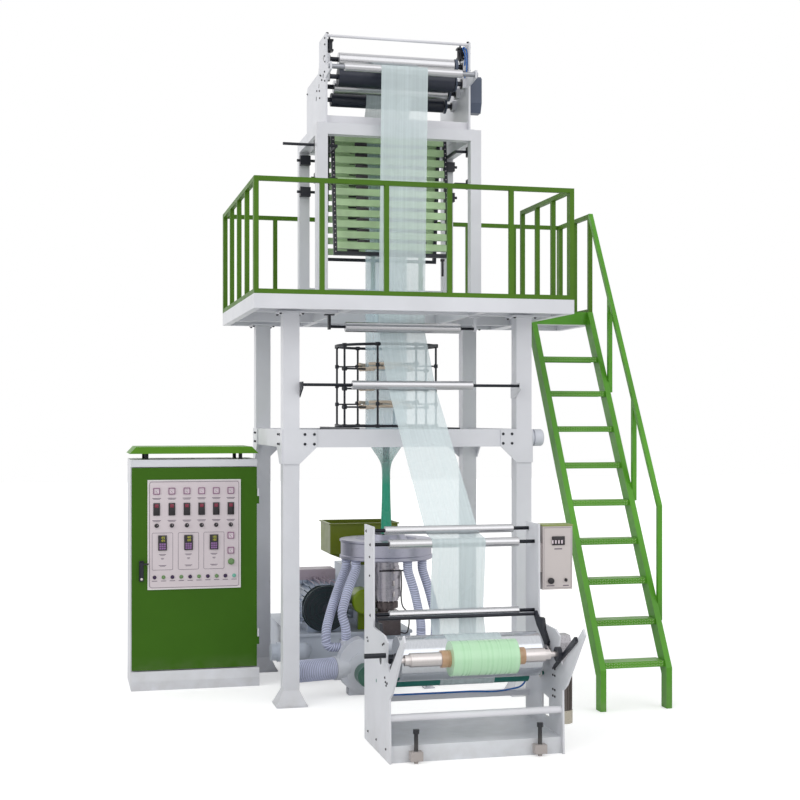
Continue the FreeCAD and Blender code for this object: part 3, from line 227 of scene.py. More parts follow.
# sprayed paint: soft mottling, orange peel and workshop dust near the floor
def paint(name, colour, rough=0.35, spread=0.07, peel=0.05, dust=0.25, coat=0.0, shine=0.35, zones=()):
    material, parts, links, shader = treeOf(name)
    base = blended(parts, links, ranged(parts, links, noise(parts, links, 2.3, 5.0), 0, 1),
                   shade(colour, 1 - spread), shade(colour, 1 + spread))
    for limits, other in zones:
        base = blended(parts, links, zone(parts, links, limits), base, other)
    grime = parts.new("ShaderNodeMath")
    grime.operation = "MULTIPLY"
    links.new(heightMask(parts, links, 0.0, 0.22), grime.inputs[0])
    links.new(ranged(parts, links, noise(parts, links, 14, 6.0), 0, dust), grime.inputs[1])
    base = blended(parts, links, grime.outputs[0], base, (0.33, 0.30, 0.26))
    links.new(base, shader.inputs["Base Color"])
    links.new(ranged(parts, links, noise(parts, links, 9, 4.0), rough - 0.06, rough + 0.08),
              shader.inputs["Roughness"])
    raised(parts, links, shader, noise(parts, links, 420, 2.0), peel, 0.0006)
    shader.inputs["Specular IOR Level"].default_value = shine
    shader.inputs["Coat Weight"].default_value = coat
    shader.inputs["Coat Roughness"].default_value = 0.12
    return material


# turned or brushed metal, its fine lines across the stretched axis
def metal(name, colour, rough, stretch=(90, 4, 4), spread=0.10, bump=0.08, sheen=1.0, zones=()):
    material, parts, links, shader = treeOf(name)
    lines = noise(parts, links, 9, 4.0, stretch)
    base = blended(parts, links, ranged(parts, links, lines, 0, 1),
                   shade(colour, 1 - spread), shade(colour, 1 + spread))
    for limits, other in zones:
        base = blended(parts, links, zone(parts, links, limits), base, other)
    links.new(base, shader.inputs["Base Color"])
    links.new(ranged(parts, links, lines, rough * 0.75, rough * 1.3), shader.inputs["Roughness"])
    raised(parts, links, shader, lines, bump, 0.0003)
    shader.inputs["Metallic"].default_value = sheen
    return material


# rubber and plastic with a fine grain
def moulded(name, colour, rough=0.5, grain=260, spread=0.08, bump=0.12):
    material, parts, links, shader = treeOf(name)
    base = blended(parts, links, ranged(parts, links, noise(parts, links, 6, 4.0), 0, 1),
                   shade(colour, 1 - spread), shade(colour, 1 + spread))
    links.new(base, shader.inputs["Base Color"])
    links.new(ranged(parts, links, noise(parts, links, 30, 3.0), rough - 0.07, rough + 0.07),
              shader.inputs["Roughness"])
    raised(parts, links, shader, noise(parts, links, grain, 2.0), bump, 0.0005)
    return material


# thin translucent film with faint lengthwise streaks, denser where it is still a narrow stalk
def filmSheet(name, colour, cover, low=None, streak=(22, 0.5, 0.3)):
    material, parts, links, shader = treeOf(name)
    lines = noise(parts, links, 3, 4.0, streak)
    base = blended(parts, links, ranged(parts, links, lines, 0, 1), shade(colour, 0.97), shade(colour, 1.03))
    if low:
        stalk = heightMask(parts, links, 1.30, 1.62)
        base = blended(parts, links, stalk, base, low)
    links.new(base, shader.inputs["Base Color"])
    opacity = ranged(parts, links, lines, cover - 0.04, cover + 0.04)
    if low:
        thick = parts.new("ShaderNodeMath")
        thick.operation = "MAXIMUM"
        links.new(ranged(parts, links, stalk, 0.0, 0.80, 0.0, 1.0), thick.inputs[0])
        links.new(opacity, thick.inputs[1])
        opacity = thick.outputs[0]
    links.new(opacity, shader.inputs["Alpha"])
    links.new(ranged(parts, links, noise(parts, links, 7, 2.0), 0.22, 0.34), shader.inputs["Roughness"])
    raised(parts, links, shader, noise(parts, links, 5, 3.0, (5, 1, 1)), 0.12, 0.004)
    return material


# wound green film between the bare ends of its brown core
def rollMaterial():
    material, parts, links, shader = treeOf("woundFilm")
    coords = parts.new("ShaderNodeTexCoord")
    split = parts.new("ShaderNodeSeparateXYZ")
    links.new(coords.outputs["Object"], split.inputs["Vector"])
    off = parts.new("ShaderNodeMath")
    off.operation = "SUBTRACT"
    off.inputs[1].default_value = shift.x
    links.new(split.outputs["X"], off.inputs[0])
    size = parts.new("ShaderNodeMath")
    size.operation = "ABSOLUTE"
    links.new(off.outputs[0], size.inputs[0])
    core = parts.new("ShaderNodeMath")
    core.operation = "GREATER_THAN"
    core.inputs[1].default_value = 0.1742
    links.new(size.outputs[0], core.inputs[0])
    lines = noise(parts, links, 5, 1.0, (14, 0.15, 0.15))
    green = blended(parts, links, ranged(parts, links, lines, 0, 1), (0.42, 0.71, 0.44), (0.47, 0.74, 0.49))
    card = blended(parts, links, ranged(parts, links, noise(parts, links, 40, 5.0), 0, 1),
                   (0.42, 0.24, 0.13), (0.52, 0.32, 0.19))
    links.new(blended(parts, links, core.outputs[0], green, card), shader.inputs["Base Color"])
    links.new(ranged(parts, links, lines, 0.22, 0.4), shader.inputs["Roughness"])
    raised(parts, links, shader, lines, 0.02, 0.0004)
    shader.inputs["Coat Weight"].default_value = 0.6
    shader.inputs["Coat Roughness"].default_value = 0.2
    return material


def woodMaterial():
    material, parts, links, shader = treeOf("turnedWood")
    grain = noise(parts, links, 12, 6.0, (1, 1, 7))
    base = blended(parts, links, ranged(parts, links, grain, 0, 1), (0.58, 0.47, 0.36), (0.78, 0.68, 0.56))
    links.new(base, shader.inputs["Base Color"])
    links.new(ranged(parts, links, grain, 0.45, 0.65), shader.inputs["Roughness"])
    raised(parts, links, shader, grain, 0.2, 0.0008)
    return material


def glowing(name, colour, strength):
    material, parts, links, shader = treeOf(name)
    base = blended(parts, links, ranged(parts, links, noise(parts, links, 300), 0, 1), shade(colour, 0.85), colour)
    links.new(base, shader.inputs["Base Color"])
    shader.inputs["Emission Color"].default_value = (*colour, 1)
    shader.inputs["Emission Strength"].default_value = strength
    shader.inputs["Roughness"].default_value = 0.25
    return material


ink = (0.020, 0.022, 0.028)
face = {"head": 380.5, "winder": 365.5, "drum": 382.5, "upper": 372.5, "winderMiddle": -20.0}


# the bare journals past both ends of a roller's face
def ends(half, middle=0.0, tone=ink):
    return [({"X": (None, middle - half)}, tone), ({"X": (middle + half, None)}, tone)]


white = paint("whitePaint", (0.68, 0.69, 0.73))
paleSide = paint("palePaint", (0.72, 0.72, 0.76))
hangers = paint("hangerPaint", (0.68, 0.69, 0.73), zones=[({"X": (None, 0)}, ink)])
screwed = paint("basePaint", (0.70, 0.72, 0.76), zones=[
    ({"Y": (None, -2152), "Z": (61, None)}, ink),
    ({"Y": (None, -2136), "Z": (None, 60.5)}, (0.42, 0.38, 0.37))])
railGreen = paint("railingGreen", (0.068, 0.165, 0.010), 0.45, 0.12, shine=0.2)
stairGreen = paint("stairGreen", (0.085, 0.300, 0.018), 0.38, 0.14, coat=0.15, shine=0.25)
strokePaint = paint("strokePaint", (0.34, 0.50, 0.20), 0.35, 0.2, shine=0.5)
doorGreen = paint("doorGreen", (0.042, 0.128, 0.006), 0.4, 0.05, shine=0.15)
hoodGreen = paint("hoodGreen", (0.095, 0.260, 0.014), 0.4, 0.06, shine=0.2, zones=[
    ({"Z": (None, 1513.5)}, ink)])
hopperGreen = paint("hopperGreen", (0.150, 0.190, 0.012), 0.35, 0.10, coat=0.2, shine=0.25)
guardGreen = paint("guardGreen", (0.230, 0.340, 0.010), 0.32, 0.08, coat=0.3, shine=0.25)
black = paint("blackPaint", (0.016, 0.018, 0.026), 0.38, 0.25)
greyPaint = paint("greyPaint", (0.45, 0.49, 0.56), 0.35)
liftPaint = paint("liftMotorPaint", (0.60, 0.62, 0.68), 0.3)
blowerPaint = paint("blowerPaint", (0.58, 0.60, 0.66), 0.3, zones=[
    ({"X": (-306, -160), "Y": (None, -428.5), "Z": (None, 210)}, (0.030, 0.105, 0.075))])
gearCase = paint("gearCasePaint", (0.085, 0.105, 0.155), 0.35, 0.15)
motorPaint = paint("motorPaint", (0.42, 0.48, 0.58), 0.32, 0.12, zones=[
    ({"Y": (None, 131), "X": (-541, -237), "Z": (328, 632)}, (0.014, 0.026, 0.030)),
    ({"Z": (640, None)}, (0.45, 0.38, 0.44))])
panelPaint = paint("panelPaint", (0.66, 0.59, 0.62), 0.42, 0.03, dust=0.0)
boxPaint = paint("boxPaint", (0.58, 0.53, 0.52), 0.4, 0.04, dust=0.0, zones=[
    ({"Z": (1150.5, None)}, (0.26, 0.30, 0.10))])
maroon = paint("maroonPaint", (0.110, 0.012, 0.030), 0.3)
frontChrome = metal("frontRollerChrome", (0.56, 0.56, 0.58), 0.20, spread=0.05, bump=0.03, sheen=0.85,
                    zones=ends(face["head"], tone=(0.30, 0.31, 0.34)))
headChrome = metal("headRollerChrome", (0.56, 0.56, 0.58), 0.20, spread=0.05, bump=0.03, sheen=0.85,
                   zones=ends(face["head"]))
upperChrome = metal("upperRollerChrome", (0.56, 0.56, 0.58), 0.20, spread=0.05, bump=0.03, sheen=0.85,
                    zones=ends(face["upper"]))
winderChrome = metal("winderRollerChrome", (0.58, 0.58, 0.60), 0.20, spread=0.05, bump=0.03, sheen=0.85,
                     zones=ends(face["winder"], face["winderMiddle"]))
drumChrome = metal("drumChrome", (0.60, 0.62, 0.66), 0.16, spread=0.08, bump=0.04, sheen=0.9,
                   zones=ends(face["drum"], face["winderMiddle"]))
turnedSteel = metal("turnedSteel", (0.66, 0.62, 0.61), 0.34, spread=0.05, bump=0.04)
bandSteel = metal("heaterBands", (0.44, 0.42, 0.46), 0.32, (4, 4, 60), zones=[
    ({"Z": (None, 535)}, (0.13, 0.11, 0.11))])
aluminium = metal("castAluminium", (0.40, 0.40, 0.48), 0.36, (4, 4, 40), 0.06)
gearMetal = metal("gearMetal", (0.36, 0.35, 0.37), 0.34, (20, 20, 20), 0.3, 0.3, 0.6, zones=[
    ({"Z": (None, 396)}, (0.15, 0.13, 0.12)), ({"Z": (None, 190)}, (0.50, 0.46, 0.38))])
blackRubber = moulded("blackRubber", (0.014, 0.018, 0.034), 0.42)
tealRubber = moulded("tealRubber", (0.005, 0.145, 0.115), 0.45)
# hose body: its own blue-grey, darkened with painted shade for the valleys between the ribs
hoseSkinValleyShade = moulded("hoseSkinValleyShade", (0.30, 0.32, 0.44), 0.42)
# ribs far lighter than the hose body: a painted highlight along every rib
ribHighlightPaint = moulded("hoseRibHighlight", (0.60, 0.63, 0.80), 0.35)
blackPlastic = moulded("blackPlastic", (0.015, 0.012, 0.016), 0.35)
slatPlastic = moulded("slatPlastic", (0.42, 0.60, 0.33), 0.35, 60, 0.18)
blueTube = moulded("blueTube", (0.012, 0.13, 0.46), 0.3)
labelGrey = moulded("labelGrey", (0.13, 0.10, 0.14), 0.6)
meterFrame = moulded("meterFrame", (0.24, 0.10, 0.20), 0.4)
meterFace = moulded("meterFace", (0.70, 0.60, 0.66), 0.3)
paleEdge = moulded("paleEdge", (0.74, 0.74, 0.72), 0.4)
redCap = glowing("redLamp", (0.20, 0.020, 0.045), 0.12)
digits = glowing("digitGlow", (0.42, 0.42, 0.02), 0.5)
keyPurple = moulded("keyPurple", (0.26, 0.13, 0.32), 0.4)
lampGreen = moulded("lampGreen", (0.14, 0.26, 0.10), 0.3)
lampTeal = moulded("lampTeal", (0.16, 0.46, 0.36), 0.3)
lampDark = moulded("lampDark", (0.030, 0.008, 0.055), 0.25)
webFilm = filmSheet("filmWeb", (0.72, 0.82, 0.84), 0.50)
tubeFilm = filmSheet("bubbleFilm", (0.66, 0.80, 0.86), 0.34, (0.03, 0.42, 0.26))
wood = woodMaterial()
woundRoll = rollMaterial()

looks = {
    "white": (white, ["columns", "mid_beams", "upper_posts", "upper_beams", "platform_deck",
                      "head_side_plates", "winder_side_plates", "cabinet_body"]),
    "pale": (paleSide, ["head_cross_bars", "winder_cross_bars"]),
    "hangers": (hangers, ["guide_roller_brackets"]),
    "base": (screwed, ["winder_base"]),
    "rail": (railGreen, ["railing_front", "railing_left", "railing_back", "railing_right"]),
    "stair": (stairGreen, ["stair_strings", "stair_treads", "stair_handrail"]),
    "door": (doorGreen, ["cabinet_door"]),
    "hood": (hoodGreen, ["cabinet_hood"]),
    "hopper": (hopperGreen, ["feed_hopper"]),
    "guard": (guardGreen, ["coupling_guard"]),
    "black": (black, ["head_cylinders", "collapsing_frames", "collapsing_adjusters", "bubble_cage",
                      "winder_arms", "door_handle"]),
    "grey": (greyPaint, ["extruder_base", "extruder_drive"]),
    "lift": (liftPaint, ["cage_lift_motor"]),
    "blower": (blowerPaint, ["air_blower"]),
    "motor": (motorPaint, ["drive_motor"]),
    "gearCase": (gearCase, ["head_gearmotor"]),
    "panel": (panelPaint, ["instrument_panel"]),
    "box": (boxPaint, ["winder_control_box"]),
    "maroon": (maroon, ["bubble_mandrel"]),
    "headChrome": (headChrome, ["head_press_roller", "head_steel_roller", "guide_roller_lower"]),
    "frontChrome": (frontChrome, ["head_front_roller"]),
    "upperChrome": (upperChrome, ["guide_roller_upper"]),
    "winderChrome": (winderChrome, ["winder_roller_top", "winder_roller_second", "winder_roller_low"]),
    "drum": (drumChrome, ["winder_drum"]),
    "rubber": (blackRubber, ["head_rubber_roller", "head_guide_roller"]),
    "teal": (tealRubber, ["winder_rubber_roller"]),
    "bands": (bandSteel, ["die_head"]),
    "ring": (aluminium, ["air_ring"]),
    "shaft": (turnedSteel, ["winding_shaft"]),
    "gear": (gearMetal, ["winder_motor"]),
    "slat": (slatPlastic, ["collapsing_slats"]),
    "wood": (wood, ["cage_rollers"]),
    "hose": (hoseSkinValleyShade, ["air_hoses"]),
    "web": (webFilm, ["film_web"]),
    "tube": (tubeFilm, ["film_bubble"]),
    "roll": (woundRoll, ["film_roll"]),
}
for material, names in looks.values():
    for name in names:
        node = nodes[name]
        if not node.material_slots:
            node.data.materials.append(material)
        for holder in node.material_slots:
            holder.material = material
print("materials given to the frame")


# cabinet: instruments on the door

panel = {"left": -1555.0, "right": -958.0, "top": 1347.0, "bottom": 643.0, "face": 51.0,
         "columns": (0.096, 0.258, 0.418, 0.576, 0.733, 0.891),
         "meterRow": 0.103, "rockerRow": 0.268, "knobRow": 0.417, "lampRow": 0.887,
         "meter": 42.0, "rocker": (42.0, 80.0), "lamp": 10.5, "sideMeters": (0.516, 0.654)}


def onPanel(u, v):
    x = panel["left"] + u * (panel["right"] - panel["left"])
    return x, panel["top"] - v * (panel["top"] - panel["bottom"])


def plateAt(x, z, wide, high, start, thick, edge=0.6):
    y = panel["face"] - start
    return block((x - wide / 2, y - thick, z - high / 2), (x + wide / 2, y, z + high / 2), edge)


# flat ring with rounded corners, printed or moulded on the panel
def roundedLine(x, z, wide, high, radius, width, thick):
    clear()
    bpy.ops.mesh.primitive_plane_add(size=1)
    ring = bpy.context.object
    ring.scale = (wide / 1000, high / 1000, 1)
    applyAll(ring)
    bpy.ops.object.mode_set(mode="EDIT")
    bpy.ops.mesh.select_all(action="SELECT")
    bpy.ops.mesh.bevel(offset=radius / 1000, segments=5, affect="VERTICES")
    bpy.ops.mesh.select_all(action="SELECT")
    bpy.ops.mesh.inset(thickness=width / 1000)
    bpy.ops.mesh.delete(type="FACE")
    bpy.ops.object.mode_set(mode="OBJECT")
    solid = ring.modifiers.new("thick", "SOLIDIFY")
    solid.thickness = thick / 1000
    solid.offset = 1
    applyAll(ring)
    place = Matrix.Translation(spot(x, panel["face"], z)) @ Matrix.Rotation(math.radians(90), 4, "X")
    ring.data.transform(place)
    return ring


def meterParts(x, z):
    size = panel["meter"]
    frameRing = roundedLine(x, z, size, size, 3, 4.5, 7)
    dial = plateAt(x, z, size - 8, size - 8, 0, 3.5, 0)
    scale = [plateAt(x - 9 + 6 * i, z + 8 - 0.6 * abs(i - 1.5), 0.9, 4, 3.5, 0.5, 0) for i in range(4)]
    needle = block((-0.7, 0, -1), (0.7, 0.6, 15), 0)
    needle.data.transform(Matrix.Translation(-shift))
    needle.data.transform(Matrix.Translation(spot(x + 5, panel["face"] - 4.4, z - 9))
                          @ Matrix.Rotation(math.radians(-48), 4, "Y"))
    return frameRing, dial, scale + [needle]


rings, dials, marks = [], [], []
meterPlaces = [onPanel(u, panel["meterRow"]) for u in panel["columns"]]
meterPlaces += [onPanel(0.891, v) for v in panel["sideMeters"]]
for x, z in meterPlaces:
    ring, dial, ticks = meterParts(x, z)
    rings.append(ring)
    dials.append(dial)
    marks += ticks
finished(rings, "meterFrames", meterFrame, "door")
finished(dials, "meterFaces", meterFace, "door")
finished(marks, "meterNeedles", blackPlastic, "door")

rockers, caps, knobs, pointers = [], [], [], []
for u in panel["columns"]:
    x, z = onPanel(u, panel["rockerRow"])
    rockers.append(plateAt(x, z, *panel["rocker"], 0, 7, 1.5))
    caps.append(plateAt(x, z + 22, 24, 22, 7, 3, 1))
    x, z = onPanel(u, panel["knobRow"])
    knobs.append(disc((x, panel["face"] - 8, z), 11, 16, "y", 24, 1.6))
    knobs.append(disc((x, panel["face"] - 1.5, z), 14, 3, "y", 24, 0.8))
    pointers.append(plateAt(x + 3, z + 4, 1.6, 8, 16, 0.5, 0))
x, z = onPanel(0.895, 0.757)
finished(rockers, "rockerSwitches", blackPlastic, "door")
finished(caps, "rockerLamps", redCap, "door")
finished(knobs, "speedKnobs", blackPlastic, "door")
finished(pointers, "knobPointers", meterFace, "door")
finished([disc((x, panel["face"] - 4, z), 21, 8, "y", 32, 1.5),
          disc((x, panel["face"] - 14, z), 15, 12, "y", 32, 3)],
         "startButton", lampGreen, "door")

controller = {"wide": 55.0, "high": 97.0, "u": (0.158, 0.435, 0.709), "v": 0.574,
              "values": ("185", "180", "190")}
strokes = {"a": (0, 1, True), "b": (1, 0.5, False), "c": (1, -0.5, False), "d": (0, -1, True),
           "e": (-1, -0.5, False), "f": (-1, 0.5, False), "g": (0, 0, True)}
lit = {"0": "abcdef", "1": "bc", "5": "acdfg", "8": "abcdefg", "9": "abcdfg"}


def digitBars(char, x, z):
    bars = []
    for key in lit[char]:
        dx, dz, flat = strokes[key]
        wide, high = (4.6, 1.6) if flat else (1.6, 5.0)
        bars.append(plateAt(x + dx * 2.7, z + dz * 5.8, wide, high, 10, 0.6, 0))
    return bars


cases, numbers, keys, outlines, prints = [], [], [], [], []
for u, value in zip(controller["u"], controller["values"]):
    x, z = onPanel(u, controller["v"])
    cases.append(plateAt(x, z, controller["wide"], controller["high"], 0, 10, 1.8))
    for row in (0, 1):
        for k, char in enumerate(value):
            numbers += digitBars(char, x - 9 + 10 * k, z + 34 - 19 * row)
    for row in range(3):
        for column in range(3):
            keys.append(plateAt(x - 14 + 14 * column, z - 8 - 14 * row, 12, 11, 10, 2, 0.8))
    low, high = onPanel(u, 0.822)[1], onPanel(u, 0.482)[1]
    outlines.append(roundedLine(x, (low + high) / 2, 133, high - low, 9, 2.2, 0.7))
    for v, wide in ((0.680, 44), (0.715, 20), (0.780, 48)):
        zLine = onPanel(u, v)[1]
        prints += [plateAt(x, zLine, wide, 3.6, 0, 0.5, 0), plateAt(x, zLine - 6, wide * 0.7, 2.6, 0, 0.5, 0)]
middle = onPanel(0.5, 0.5)
outlines.append(roundedLine(*middle, 574, 680, 16, 2.6, 0.7))
for u in panel["columns"]:
    for v in (0.168, 0.370):
        x, z = onPanel(u, v)
        prints += [plateAt(x, z, 54, 4.0, 0, 0.5, 0), plateAt(x, z - 7, 44, 3.0, 0, 0.5, 0)]
lampColours = {"dark": [], "green": [], "teal": []}
for i in range(10):
    x, z = onPanel(0.074 + 0.0948 * i, panel["lampRow"])
    kind = "teal" if i == 9 else ("green" if i % 2 else "dark")
    lampColours[kind] += [disc((x, panel["face"] - 2, z), panel["lamp"] + 2, 4, "y", 24, 0.8),
                          disc((x, panel["face"] - 7, z), panel["lamp"] - 2, 8, "y", 24, 2)]
    prints.append(plateAt(x, z - 24, 34, 4, 0, 0.5, 0))
finished(cases, "controllerCases", blackPlastic, "door")
finished(numbers, "controllerDigits", digits, "door")
finished(keys, "controllerKeys", keyPurple, "door")
finished(outlines, "panelOutlines", labelGrey, "door")
finished(prints, "panelMarks", labelGrey, "door")
finished(lampColours["dark"], "darkLamps", lampDark, "door")
finished(lampColours["green"], "greenLamps", lampGreen, "door")
finished(lampColours["teal"], "tealLamp", lampTeal, "door")
finished([roundedLine(*middle, 596, 703, 12, 6, 2)], "panelEdge", paleEdge, "door")
lock = {"x": -1594.0, "z": 716.0, "front": 22.0}
finished([disc((lock["x"], lock["front"] - 1.5, lock["z"]), 8, 3, "y", 24, 0.8)], "doorLock", turnedSteel,
         "door")
finished([block((-1590, 26, 806), (-1548, 34, 816), 2)], "doorLatch", blackPlastic, "door")
print("cabinet panel done")


# hoses: raised ribs along the four air hoses and the intake

hose = {"radius": 28.0, "rib": 3.4, "pitch": 15.0, "slant": math.radians(20)}
blower = {"fan": (-227, -332, 170), "turn": math.radians(13.3), "start": 212, "step": 12, "ribs": 24,
          "radius": 66.5, "rib": 3.2}
routes = [
    [(-268, 10, 817), (-268, 10, 757), (-340, -80, 633), (-416, -200, 489), (-456, -262, 385),
     (-456, -280, 285), (-365, -280, 285)],
    [(-232, -130, 817), (-232, -130, 757), (-300, -190, 633), (-352, -245, 490), (-328, -280, 415),
     (-328, -280, 330)],
    [(84, -252, 817), (84, -252, 757), (119, -285, 636), (150, -290, 493), (166, -280, 420),
     (166, -280, 345)],
    [(200, -176, 817), (200, -176, 757), (235, -215, 633), (262, -260, 490), (262, -280, 420),
     (262, -280, 345)]]


# evenly spaced points and directions along straight runs joined by arcs
def hoseLine(route, pitch):
    points = [Vector(p) for p in route]
    line, last = [], points[0]
    for a, b, c in zip(points, points[1:], points[2:]):
        cut = 0.45 * min((a - b).length, (c - b).length)
        start, end = b + (a - b).normalized() * cut, b + (c - b).normalized() * cut
        line += [last, start]
        u, v = (a - b).normalized(), (c - b).normalized()
        half = u.angle(v) / 2
        radius = cut * math.tan(half)
        centre = b + (u + v).normalized() * math.hypot(cut, radius)
        for i in range(1, 8):
            t = i / 8
            line.append(centre + (start - centre).slerp(end - centre, t) * radius)      # slerp's length is 1
        last = end
    line += [last, points[-1]]
    out, left = [], pitch / 2
    for p, q in zip(line, line[1:]):
        length = (q - p).length
        while length > 1e-6 and left <= length:
            out.append((p.lerp(q, left / length), (q - p).normalized()))
            left += pitch
        left -= length
    return out


def ribs(line, radius, rib, sides=28, slant=0.0):
    clear()
    bpy.ops.mesh.primitive_torus_add(major_radius=radius / 1000, minor_radius=rib / 1000,
                                     major_segments=sides, minor_segments=8)
    proto = bpy.context.object
    bpy.ops.object.shade_smooth()
    places = []
    for point, way in line:
        turn = Vector((0, 0, 1)).rotation_difference(way).to_matrix().to_4x4()
        places.append(Matrix.Translation(spot(*point)) @ turn @ Matrix.Rotation(slant, 4, "Y"))
    return copies(proto, places)


allRibs = []
for route in routes:
    allRibs += ribs(hoseLine(route, hose["pitch"]), hose["radius"], hose["rib"], 28, hose["slant"])
way = Vector((-math.cos(blower["turn"]), -math.sin(blower["turn"]), 0))
intake = [(Vector(blower["fan"]) + way * (blower["start"] + blower["step"] * i), way)
          for i in range(blower["ribs"])]
allRibs += ribs(intake, blower["radius"], blower["rib"], 36)
# ribs of the hoses and the intake take the lighter colour, a painted highlight
finished(allRibs, "hoseRibs", ribHighlightPaint)
print("hose ribs done")


# fasteners

bolt = {"foot": (6, 5), "corner": (6, 5), "cap": (7, 6), "head": (4.5, 4), "winder": (4.5, 3)}
tower = {"columnX": 740, "columnY": 600, "footHole": 76 * 1.1, "capHole": 68, "capUnder": 2377}
headSide = 475
winder = {"middle": -20, "outer": 467, "bearing": 439}


# hexagon head with a chamfer on its washer, standing on the origin
def boltProto(head, height):
    clear()
    bpy.ops.mesh.primitive_cylinder_add(vertices=20, radius=head * 1.45 / 1000, depth=0.002,
                                        location=(0, 0, 0.001))
    washer = bpy.context.object
    applyAll(washer)
    clear()
    bpy.ops.mesh.primitive_cylinder_add(vertices=6, radius=head / 1000, depth=height / 1000,
                                        location=(0, 0, 0.002 + height / 2000))
    nut = bpy.context.object
    applyAll(nut)
    soften(nut, head / 6000, 1, 60)
    return joined([washer, nut])


facing = {"+x": Matrix.Rotation(math.radians(90), 4, "Y"), "-x": Matrix.Rotation(math.radians(-90), 4, "Y"),
          "+y": Matrix.Rotation(math.radians(-90), 4, "X"), "-y": Matrix.Rotation(math.radians(90), 4, "X"),
          "+z": Matrix.Identity(4), "-z": Matrix.Rotation(math.radians(180), 4, "X")}


def at(x, y, z, side):
    return Matrix.Translation(spot(x, y, z)) @ facing[side]


places = []
for sx in (-1, 1):
    for sy in (-1, 1):
        for dx in (-1, 1):
            for dy in (-1, 1):
                places.append(at(sx * tower["columnX"] + dx * tower["footHole"],
                                 sy * tower["columnY"] + dy * tower["footHole"], 12, "+z"))
finished(copies(boltProto(*bolt["foot"]), places), "footBolts", turnedSteel)

places = []
for s in (-1, 1):
    for x in (600, 658):
        for z in (1644, 1585):
            places.append(at(s * x, -658, z, "-y"))
            places.append(at(s * x, 658, z, "+y"))
    for sy in (-1, 1):
        for y in (500, 558):
            for z in (1644, 1585):
                places.append(at(s * 798, sy * y, z, "+x" if s > 0 else "-x"))
finished(copies(boltProto(*bolt["corner"]), places), "cornerBolts", black)
places = [at(sx * tower["columnX"] + dx * tower["capHole"], sy * tower["columnY"] + dy * tower["capHole"],
             tower["capUnder"], "-z")
          for sx in (-1, 1) for sy in (-1, 1) for dx in (-1, 1) for dy in (-1, 1)]
finished(copies(boltProto(*bolt["cap"]), places), "capBolts", black)

places = []
for s, side in ((-1, "-x"), (1, "+x")):
    for y, z in ((-340, 4140), (-340, 4100), (-325, 4030), (-345, 3990), (-330, 3930), (-340, 3870),
                 (-200, 3935), (-175, 3945), (-150, 3850), (-165, 3800), (-235, 3900), (-60, 3870),
                 (300, 3930), (300, 3630)):
        places.append(at(s * headSide, y, z, side))
finished(copies(boltProto(*bolt["head"]), places), "headBolts", blackPlastic)

places = []
for s, side in ((-1, "-x"), (1, "+x")):
    for y, z in ((-1612, 1132), (-1711, 1066), (-1711, 689)):
        places.append(at(winder["middle"] + s * winder["outer"], y, z, side))
    for y, z in ((-1700, 1000), (-1700, 900), (-1640, 560), (-1660, 545), (-2010, 580), (-2040, 590),
                 (-2060, 420), (-2075, 400), (-2090, 385), (-2110, 400), (-1660, 60), (-2080, 60),
                 (-1860, 60)):
        places.append(at(winder["middle"] + s * winder["outer"], y, z, side))
for y, z in ((-2010, 420), (-2040, 420), (-2010, 385), (-2040, 385), (-2010, 310), (-2040, 310), (-2010, 275),
             (-2040, 275)):
    places.append(at(437, y, z, "-x"))
finished(copies(boltProto(*bolt["winder"]), places), "winderBolts", blackPlastic)
print("fasteners done")


# collapsing frames: perforated stiles and slat clips

collapse = {"top": 3700.0, "bottom": 2785.0, "topY": 48.0, "botY": 165.0, "thick": 30.0, "slats": 12,
            "holes": 30, "holePitch": 29.5, "holeX": 377}


def lean(z):
    share = (collapse["top"] - z) / (collapse["top"] - collapse["bottom"])
    return collapse["topY"] + share * (collapse["botY"] - collapse["topY"])


tilt = math.atan2(collapse["botY"] - collapse["topY"], collapse["top"] - collapse["bottom"])
clear()
bpy.ops.mesh.primitive_cylinder_add(vertices=10, radius=0.0034, depth=0.0012)
holeMark = bpy.context.object
places = []
for sy in (-1, 1):
    for s in (-1, 1):
        for i in range(collapse["holes"]):
            z = collapse["bottom"] + 30 + i * collapse["holePitch"]
            y = sy * (lean(z) + collapse["thick"] * math.cos(tilt) + 0.4)
            turn = Matrix.Rotation(math.radians(90) - sy * tilt, 4, "X")
            places.append(Matrix.Translation(spot(s * collapse["holeX"], y, z)) @ turn)
finished(copies(holeMark, places), "stileHoles", meterFace)

pitch = (collapse["top"] - collapse["bottom"] - 60) / collapse["slats"]
clips = []
for sy in (-1, 1):
    for i in range(collapse["slats"]):
        z = collapse["bottom"] + 40 + i * pitch + pitch * 0.76
        y = sy * (lean(z) + 16)
        for x in (-190, 190):
            clips.append(block((x - 40, y - 11, z - 19), (x + 40, y + 11, z + 19), 3))
finished(clips, "slatClips", blackPlastic)
finished([block((331, -186, 2672), (345, -172, 2772), 3), block((325, -188, 2770), (351, -168, 2786), 2)],
         "frameLever", blackPlastic)
print("collapsing frames done")


# cage: thin arms with turned rollers on the rods between those of the frame

